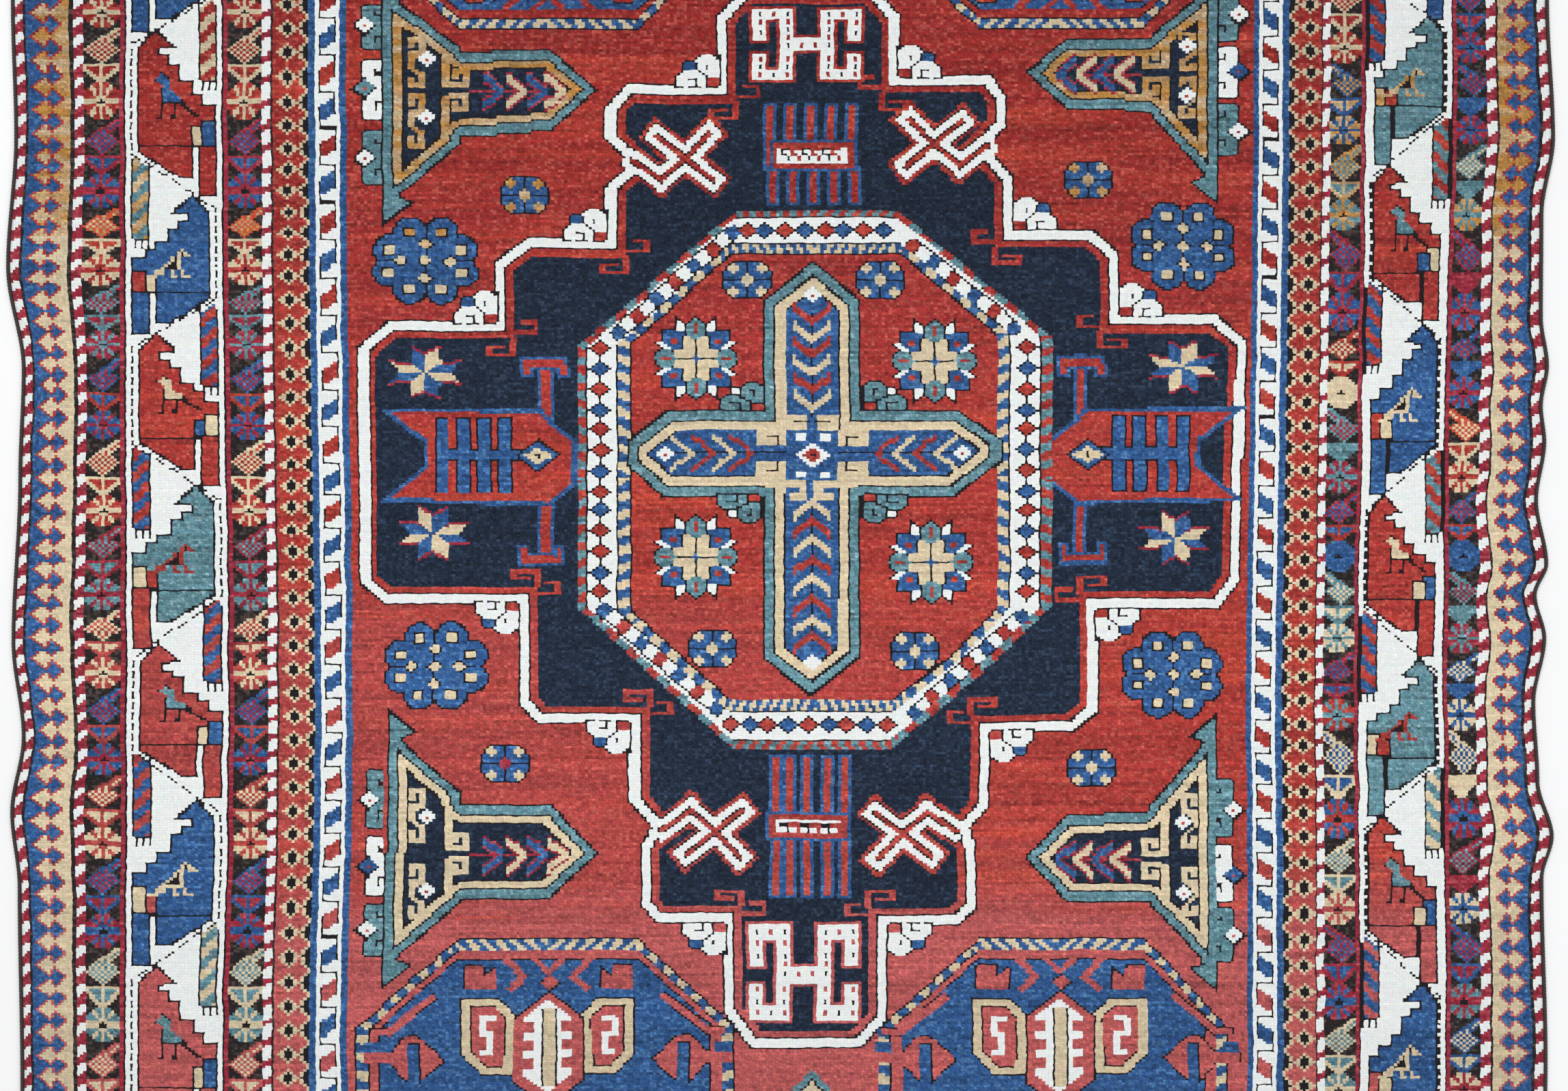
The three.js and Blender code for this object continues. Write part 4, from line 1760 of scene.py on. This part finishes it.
# The black and dark-brown wool is worn low, so that the knots beside it lean over
# it: how far their corners move, as a share of a knot's width
LEAN_OVER = 0.24


def leaning(knots):
    """How far each knot corner moves across and along, in shares of a knot."""
    dark = np.pad((knots == CODE["k"]).astype(float), 1, mode="edge")
    left_low, right_low = dark[:-1, :-1], dark[:-1, 1:]
    left_high, right_high = dark[1:, :-1], dark[1:, 1:]
    across = (right_low + right_high - left_low - left_high) / 2
    along = (left_high + right_high - left_low - right_low) / 2
    return across * LEAN_OVER, along * LEAN_OVER


BELOW_TIPS = 0.55  # the pile's mean surface, below its highest tips
UNEVEN_TIPS = 0.12


def corner_heights(knots, random):
    """How high the pile stands at the knots' corners, in millimetres."""
    worn = np.array([WORN.get(letter, 0) for letter in LETTERS])
    drop = np.pad(worn[knots], 1, mode="edge")
    drop = (drop[1:, 1:] + drop[1:, :-1] + drop[:-1, 1:] + drop[:-1, :-1]) / 4
    shape = drop.shape
    swell = layered(shape, SWELLS, random)
    fine = random.uniform(-UNEVEN_TIPS, UNEVEN_TIPS, shape)
    return PILE_HEIGHT - BELOW_TIPS - drop + swell + fine


def placed_in_scene(name, data):
    item = bpy.data.objects.new(name, data)
    bpy.context.scene.collection.objects.link(item)
    return item


def quad_mesh(name, points, faces):
    """A smooth mesh object of quads, from points in millimetres and rows of corners."""
    mesh = bpy.data.meshes.new(name)
    mesh.vertices.add(len(points))
    mesh.vertices.foreach_set("co", (points * 0.001).astype(np.float32).ravel())
    mesh.loops.add(faces.size)
    mesh.loops.foreach_set("vertex_index", faces.astype(np.int32).ravel())
    mesh.polygons.add(len(faces))
    mesh.polygons.foreach_set("loop_start", np.arange(0, faces.size, 4, dtype=np.int32))
    mesh.update(calc_edges=True)
    mesh.polygons.foreach_set("use_smooth", np.full(len(faces), True))
    return placed_in_scene(name, mesh)


def polygon_mesh(name, points, polygons):
    """A mesh object of any polygons, from points in millimetres."""
    mesh = bpy.data.meshes.new(name)
    mesh.from_pydata((np.array(points) * 0.001).tolist(), [], polygons)
    return placed_in_scene(name, mesh)


def set_face_colours(piece, colours):
    values = np.ones((len(colours), 4), dtype=np.float32)
    values[:, :colours.shape[1]] = colours
    attribute = piece.data.attributes.new("wool", "FLOAT_COLOR", "FACE")
    attribute.data.foreach_set("color", values.ravel())


def set_uv(piece, name, places):
    """A UV map from a place for each face corner."""
    layer = piece.data.uv_layers.new(name=name)
    layer.uv.foreach_set("vector", places.astype(np.float32).ravel())


def grid_faces(tall, wide):
    """Quads between the points of a grid, seen from above, row by row."""
    row, column = np.mgrid[0:tall - 1, 0:wide - 1]
    first = (row * wide + column).ravel()
    return np.stack([first, first + 1, first + 1 + wide, first + wide], axis=1)


WALL_FOOT = WEB_HEIGHT - 0.3  # how high the pile's walls end, within the woven ground


def darker(shade):
    """The colours of the pile's walls, which see less light."""
    return shade * (0.6, 0.6, 0.6, 1)


def pile_strip(name, first, last, points, colours):
    """The pile from one column of knots to another.

    It has walls down to the ground at both ends, and at the rug's own sides.
    """
    left, right = first == 0, last == COLUMNS
    part = points[:, first:last + 1]
    shade = colours[:, first:last]
    part = np.concatenate([part[:1], part, part[-1:]], axis=0)
    shade = np.concatenate([darker(shade[:1]), shade, darker(shade[-1:])], axis=0)
    if left:
        part = np.concatenate([part[:, :1], part], axis=1)
        shade = np.concatenate([darker(shade[:, :1]), shade], axis=1)
    if right:
        part = np.concatenate([part, part[:, -1:]], axis=1)
        shade = np.concatenate([shade, darker(shade[:, -1:])], axis=1)
    part[[0, -1], :, 2] = WALL_FOOT
    if left:
        part[:, 0, 2] = WALL_FOOT
    if right:
        part[:, -1, 2] = WALL_FOOT
    tall, wide = part.shape[:2]
    faces = grid_faces(tall, wide)
    piece = quad_mesh(name, part.reshape(-1, 3), faces)
    set_face_colours(piece, shade.reshape(-1, 4))
    row, column = np.mgrid[0:tall, 0:wide]
    knot_place = np.stack([column + first, row], axis=2).reshape(-1, 2)
    set_uv(piece, "Knots", knot_place[faces.ravel()])
    set_uv(piece, "OFBake", folded(faces, tall, wide))
    return piece


BAKE_BLOCKS = 3  # how many blocks a strip is cut into on its map
BAKE_MARGIN = 0.006


def folded(faces, tall, wide):
    """Places on a square map for a long strip, cut into blocks set side by side."""
    corners = faces.ravel()
    row, column = corners // wide, corners % wide
    face_row = np.repeat(faces[:, 0] // wide, 4)
    block_rows = math.ceil((tall - 1) / BAKE_BLOCKS)
    block = face_row // block_rows
    span = 1 / BAKE_BLOCKS
    u = block * span + BAKE_MARGIN + (span - 2 * BAKE_MARGIN) * column / (wide - 1)
    v = BAKE_MARGIN + (1 - 2 * BAKE_MARGIN) * (row - block * block_rows) / block_rows
    return np.stack([u, v], axis=1)


def dress(piece, material, replaced):
    """Give a piece its wool, set it under the root, and hide the CAD part that it stands for."""
    piece.data.materials.append(material)
    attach(piece, "root")
    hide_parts(replaced)


# The pile's strips, each from one column of knots to another
RIGHT_BORDER_COLUMN = LEFT_COLUMNS + FIELD_COLUMNS
STRIPS = [
    ("pile_left_border", 0, LEFT_COLUMNS),
    ("pile_field_left", LEFT_COLUMNS, LEFT_COLUMNS + 89),
    ("pile_field_middle", LEFT_COLUMNS + 89, LEFT_COLUMNS + 177),
    ("pile_field_right", LEFT_COLUMNS + 177, RIGHT_BORDER_COLUMN),
    ("pile_right_border", RIGHT_BORDER_COLUMN, COLUMNS),
]
LOOSE_ACROSS = 0.4  # how far single knots lie off their places, in millimetres
LOOSE_ALONG = 0.34


def build_pile(knots, random, material):
    """The pile's strips, and the colours that its knots got."""
    across, along = knot_places()
    shape = across.shape
    heights = corner_heights(knots, random)
    colours = knot_colours(knots, random)
    bend = layered(shape, SLOW_BENDS, random)
    lean_x, lean_y = leaning(knots)
    sway = layered(shape, SWAYS, random)
    bend += layered(shape, QUICK_BENDS, random)
    loose_x = random.uniform(-LOOSE_ACROSS, LOOSE_ACROSS, shape)
    loose_y = random.uniform(-LOOSE_ALONG, LOOSE_ALONG, shape)
    x = across + sway + lean_x * COLUMN_PITCH + loose_x
    y = along[:, None] + bend + lean_y * ROW_PITCH + loose_y
    y[0] = along[0]
    y[-1] = along[-1]
    x[:, 0] = across[:, 0]
    x[:, -1] = across[:, -1]
    points = np.stack([x, y, heights], axis=2)
    pieces = [pile_strip(*strip, points, colours) for strip in STRIPS]
    for piece in pieces:
        dress(piece, material, "rug")
    return pieces, colours


UNDERSIDE_STEP = 4  # knots that one face of the underside stands for
WEB_WOOL = (120, 98, 74)  # the undyed warps and wefts


def slab(along, wide):
    """A closed slab under the rug: its points, and its polygons from the underside up.

    along are the places of its rows of points, and wide is its faces across.
    """
    left = left_edge(along) + SELVEDGE_WIDTH + SEAM_GAP
    right = right_edge(along) - SELVEDGE_WIDTH - SEAM_GAP
    share = np.linspace(0, 1, wide + 1)
    x = left[:, None] + (right - left)[:, None] * share[None, :]
    y = np.repeat(along[:, None], wide + 1, axis=1)
    below = np.stack([x, y, np.zeros_like(x)], axis=2).reshape(-1, 3)
    tall = len(along) - 1
    rim_left = np.arange(tall + 1) * (wide + 1)
    rim_right = rim_left + wide
    near = np.arange(wide + 1)
    far = near + tall * (wide + 1)
    rim = np.concatenate([rim_left, rim_right, near[1:-1], far[1:-1]])
    above = below[rim].copy()
    above[:, 2] = WEB_HEIGHT
    lift = np.full(len(below), -1)
    lift[rim] = len(below) + np.arange(len(rim))
    quads = [grid_faces(tall + 1, wide + 1)[:, ::-1]]
    for edge in (near, far[::-1], rim_left[::-1], rim_right):
        quads.append(np.stack([edge[:-1], edge[1:], lift[edge[1:]], lift[edge[:-1]]], axis=1))
    spans = [rim_left[1:-2], rim_right[1:-2], rim_right[2:-1], rim_left[2:-1]]
    quads.append(lift[np.stack(spans, axis=1)])
    near_cap = lift[[*near, rim_right[1], rim_left[1]]]
    far_cap = lift[[rim_left[-2], rim_right[-2], *far[::-1]]]
    polygons = np.concatenate(quads).tolist() + [near_cap.tolist(), far_cap.tolist()]
    return np.concatenate([below, above]), polygons


def build_foundation(colours, material):
    """The woven ground: warps and wefts, with the knots' backs showing below.

    Its upper face is bare only at the rug's two ends.
    """
    tall = ROWS // UNDERSIDE_STEP
    wide = COLUMNS // UNDERSIDE_STEP
    end = LENGTH / 2
    along = np.linspace(-end + WEB_LENGTH, end - WEB_LENGTH, tall + 1)
    along = np.concatenate([[-end], along, [end]])
    points, polygons = slab(along, wide)
    piece = polygon_mesh("foundation", points, polygons)
    web = linear(WEB_WOOL)
    shade = np.tile(web, (len(polygons), 1))
    shown = np.tile(web, (tall + 2, wide, 1))
    middle = UNDERSIDE_STEP // 2
    shown[1:-1] = colours[middle::UNDERSIDE_STEP, middle::UNDERSIDE_STEP, :3][:tall, :wide]
    shade[:(tall + 2) * wide] = shown.reshape(-1, 3)
    set_face_colours(piece, shade)
    dress(piece, material, "rug")
    return piece


WRAP_PITCH = 3.2  # from one turn of the overcasting to the next
WRAP_CORNERS = 10
WRAP_SLANT = 0.8  # how far a turn leans along the rug
BETWEEN_TURNS = 0.86  # the bundle's girth between two turns, as a share


def build_selvedge(name, edge, inward, random):
    """An overcast side: a bundle of warps with dark wool wound round it."""
    rings = 2 * int(LENGTH / WRAP_PITCH) + 1
    along = np.linspace(-LENGTH / 2, LENGTH / 2, rings)
    angle = (np.arange(WRAP_CORNERS) + 0.5) / WRAP_CORNERS * 2 * math.pi
    girth = np.where(np.arange(rings) % 2 == 1, 1.0, BETWEEN_TURNS)
    girth = (girth * random.uniform(0.95, 1.0, rings))[:, None]
    middle = edge(along) + inward * SELVEDGE_WIDTH / 2
    x = middle[:, None] + SELVEDGE_WIDTH / 2 * girth * np.cos(angle)
    z = SELVEDGE_HEIGHT / 2 + SELVEDGE_HEIGHT / 2 * girth * np.sin(angle)
    y = along[:, None] + WRAP_SLANT * np.sin(angle) * np.ones((rings, 1))
    y = np.clip(y, -LENGTH / 2, LENGTH / 2)
    points = np.stack([x, y, z], axis=2).reshape(-1, 3)
    polygons = []
    for ring in range(rings - 1):
        base, upper = ring * WRAP_CORNERS, (ring + 1) * WRAP_CORNERS
        for corner in range(WRAP_CORNERS):
            after = (corner + 1) % WRAP_CORNERS
            polygons.append((upper + corner, upper + after, base + after, base + corner))
    last = (rings - 1) * WRAP_CORNERS
    polygons.append(range(WRAP_CORNERS))
    polygons.append(range(last + WRAP_CORNERS - 1, last - 1, -1))
    piece = polygon_mesh(name, points, polygons)
    piece.data.polygons.foreach_set("use_smooth", np.full(len(polygons), True))
    return piece


class Tree:
    """A new material's nodes, with short ways to add to them."""

    def __init__(self, name):
        self.material = bpy.data.materials.new(name)
        self.material.use_nodes = True
        self.nodes = self.material.node_tree.nodes
        self.nodes.clear()
        output = self.nodes.new("ShaderNodeOutputMaterial")
        self.shader = self.nodes.new("ShaderNodeBsdfPrincipled")
        self.feed(output, {"Surface": self.shader.outputs["BSDF"]})

    def feed(self, node, values):
        """Join a node's inputs to outputs of others, or set them to plain values."""
        for name, value in values.items():
            if isinstance(value, bpy.types.NodeSocket):
                self.material.node_tree.links.new(value, node.inputs[name])
            else:
                node.inputs[name].default_value = value

    def add(self, kind, values=None, **settings):
        node = self.nodes.new("ShaderNode" + kind)
        for name, value in settings.items():
            setattr(node, name, value)
        self.feed(node, values or {})
        return node

    def math(self, operation, *values):
        return self.add("Math", dict(enumerate(values)), operation=operation).outputs["Value"]

    def ranged(self, value, low, high, to_low, to_high):
        """A value taken from one range to another."""
        ends = {"From Min": low, "From Max": high, "To Min": to_low, "To Max": to_high}
        return self.add("MapRange", {**ends, "Value": value}).outputs["Result"]


def fibre_noise(tree, knots, turn, stretch, detail):
    """Noise drawn out along the fibres, which lie slanting over the knots."""
    place = knots
    in_millimetres = (COLUMN_PITCH, ROW_PITCH, 1)
    steps = [("Scale", in_millimetres), ("Rotation", (0, 0, turn)), ("Scale", (*stretch, 1))]
    for name, value in steps:
        place = tree.add("Mapping", {name: value, "Vector": place}).outputs["Vector"]
    values = {"Scale": 1, "Detail": detail, "Roughness": 0.6, "Vector": place}
    return tree.add("TexNoise", values, noise_dimensions="2D").outputs["Fac"]


def knot_beads(tree, knots):
    """1 in the middle of each knot, and 0 in the gaps between them."""
    split = tree.add("SeparateXYZ", {"Vector": knots})
    rounds = []
    for axis in ("X", "Y"):
        wave = tree.math("SINE", tree.math("MULTIPLY", split.outputs[axis], math.pi))
        rounds.append(tree.math("ABSOLUTE", wave))
    return tree.math("POWER", tree.math("MULTIPLY", *rounds), 0.4)


FIBRE_SLANT = math.radians(38)
# Painted highlight: a pale tint that is mixed into the wool's colour along some fibres
PAINTED_HIGHLIGHT_TINT = (0.75, 0.78, 0.8, 1)


def pile_material():
    """Wool tips: each knot in its own colour, with slanted fibres over them, a painted highlight
    on some fibres and painted shade in the gaps between knots.

    How strongly the fibres and the painted shade in the gaps between knots show is kept beside
    each knot's colour.
    """
    tree = Tree("pile_wool")
    wool = tree.add("Attribute", attribute_type="GEOMETRY", attribute_name="wool")
    depth = wool.outputs["Alpha"]
    knots = tree.add("UVMap", uv_map="Knots").outputs["UV"]
    strands = fibre_noise(tree, knots, FIBRE_SLANT, (0.2, 0.75), 3)
    hairs = fibre_noise(tree, knots, FIBRE_SLANT * 1.3, (0.4, 3.2), 2)
    lightness = tree.math("MULTIPLY", tree.ranged(strands, 0.32, 0.68, -1, 1), depth)
    shade = tree.math("ADD", lightness, 1)
    # Painted highlight: where the fine fibre noise is high, up to 6% of the colour goes to a pale
    # tint
    painted_highlight_share = tree.ranged(hairs, 0.56, 0.8, 0, 0.06)
    beads = knot_beads(tree, knots)
    # Painted shade in the gaps between knots: the colour is darkened there by up to half the
    # alpha, and a little lightened in the knots' middles
    gap = tree.math("MULTIPLY", tree.ranged(beads, 0, 1, 0.5, -0.05), depth)
    shade = tree.math("MULTIPLY", shade, tree.math("SUBTRACT", 1, gap))
    values = {"Vector": wool.outputs["Color"], "Scale": shade}
    shaded = tree.add("VectorMath", values, operation="SCALE")
    # The painted highlight mixed into the shaded wool colour
    with_painted_highlight = tree.add("Mix", data_type="RGBA", blend_type="MIX")
    tree.feed(with_painted_highlight, {"B": PAINTED_HIGHLIGHT_TINT, "Factor": painted_highlight_share, "A": shaded.outputs["Vector"]})
    height = tree.math("ADD", tree.math("MULTIPLY", strands, 1.4), beads)
    bump = tree.add("Bump", {"Strength": 0.5, "Distance": 0.0012, "Height": height})
    tree.feed(tree.shader, {
        "Base Color": with_painted_highlight.outputs["Result"],
        "Normal": bump.outputs["Normal"],
        "Roughness": 0.9,
        "Sheen Weight": 0.05,
        "Sheen Roughness": 0.4,
        "Specular IOR Level": 0.15,
    })
    return tree.material


def ground_material():
    tree = Tree("woven_ground")
    wool = tree.add("Attribute", attribute_type="GEOMETRY", attribute_name="wool")
    tree.feed(tree.shader, {"Roughness": 0.95, "Base Color": wool.outputs["Color"]})
    return tree.material


def plain_material(name, colour, roughness, sheen=0):
    tree = Tree(name)
    values = {"Base Color": (*colour, 1), "Roughness": roughness, "Sheen Weight": sheen}
    tree.feed(tree.shader, values)
    return tree.material


FLOOR_HALF = 4000  # millimetres from the floor's middle to its edges
FLOOR_COLOUR = (0.89, 0.885, 0.885)


def build_floor():
    half = FLOOR_HALF
    corners = [(-half, -half, 0), (half, -half, 0), (half, half, 0), (-half, half, 0)]
    floor = polygon_mesh("floor", corners, [(0, 1, 2, 3)])
    floor.data.materials.append(plain_material("floor_paint", FLOOR_COLOUR, 0.8))


ROOM_COLOUR = (0.96, 0.98, 1.0, 1)
ROOM_STRENGTH = 0.54


def add_light(name, place, size, power):
    """A round soft light, turned towards the rug's middle."""
    light = bpy.data.lights.new(name, "AREA")
    light.shape = "DISK"
    light.size = size
    light.energy = power
    lamp = placed_in_scene(name, light)
    lamp.location = place
    lamp.rotation_euler = (-Vector(place)).to_track_quat("-Z", "Y").to_euler()


def build_lights():
    add_light("key", (-1.2, 1.4, 3.6), 2.6, 74)
    add_light("fill", (1.6, -1.2, 3.2), 3.0, 41)
    world = bpy.data.worlds.new("room")
    world.use_nodes = True
    background = world.node_tree.nodes["Background"]
    background.inputs["Color"].default_value = ROOM_COLOUR
    background.inputs["Strength"].default_value = ROOM_STRENGTH
    bpy.context.scene.world = world


# The photographed stretch of the rug, in metres from the rug's middle
VIEW_X = 0.0033
VIEW_Y = -0.0643
VIEW_WIDTH = 1.4993
LENS = 50
SENSOR = 36
PILE_TIPS = 0.0065


def build_camera():
    data = bpy.data.cameras.new("camera")
    data.lens = LENS
    data.sensor_fit = "HORIZONTAL"
    data.sensor_width = SENSOR
    camera = placed_in_scene("camera", data)
    camera.location = (VIEW_X, VIEW_Y, VIEW_WIDTH * LENS / SENSOR + PILE_TIPS)
    bpy.context.scene.camera = camera


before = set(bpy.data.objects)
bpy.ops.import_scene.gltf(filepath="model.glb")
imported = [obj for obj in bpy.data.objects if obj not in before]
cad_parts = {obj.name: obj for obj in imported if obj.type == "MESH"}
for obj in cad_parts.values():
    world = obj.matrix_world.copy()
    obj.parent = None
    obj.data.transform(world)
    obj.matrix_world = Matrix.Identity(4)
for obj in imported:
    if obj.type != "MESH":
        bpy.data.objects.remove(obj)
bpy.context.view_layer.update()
RANDOM = np.random.default_rng(SEED)
KNOTS = draw_design()
PILE, KNOT_COLOURS = build_pile(KNOTS, RANDOM, pile_material())
FOUNDATION = build_foundation(KNOT_COLOURS, ground_material())
OVERCAST_BROWN = (52, 42, 40)
SELVEDGE_WOOL = plain_material("selvedge_wool", linear(OVERCAST_BROWN), 0.9, 0.15)
LEFT = build_selvedge("overcast_left", left_edge, 1, RANDOM)
RIGHT = build_selvedge("overcast_right", right_edge, -1, RANDOM)
dress(LEFT, SELVEDGE_WOOL, "selvedge_left")
dress(RIGHT, SELVEDGE_WOOL, "selvedge_right")
build_floor()
build_lights()
build_camera()
bpy.context.scene.view_settings.view_transform = "Standard"
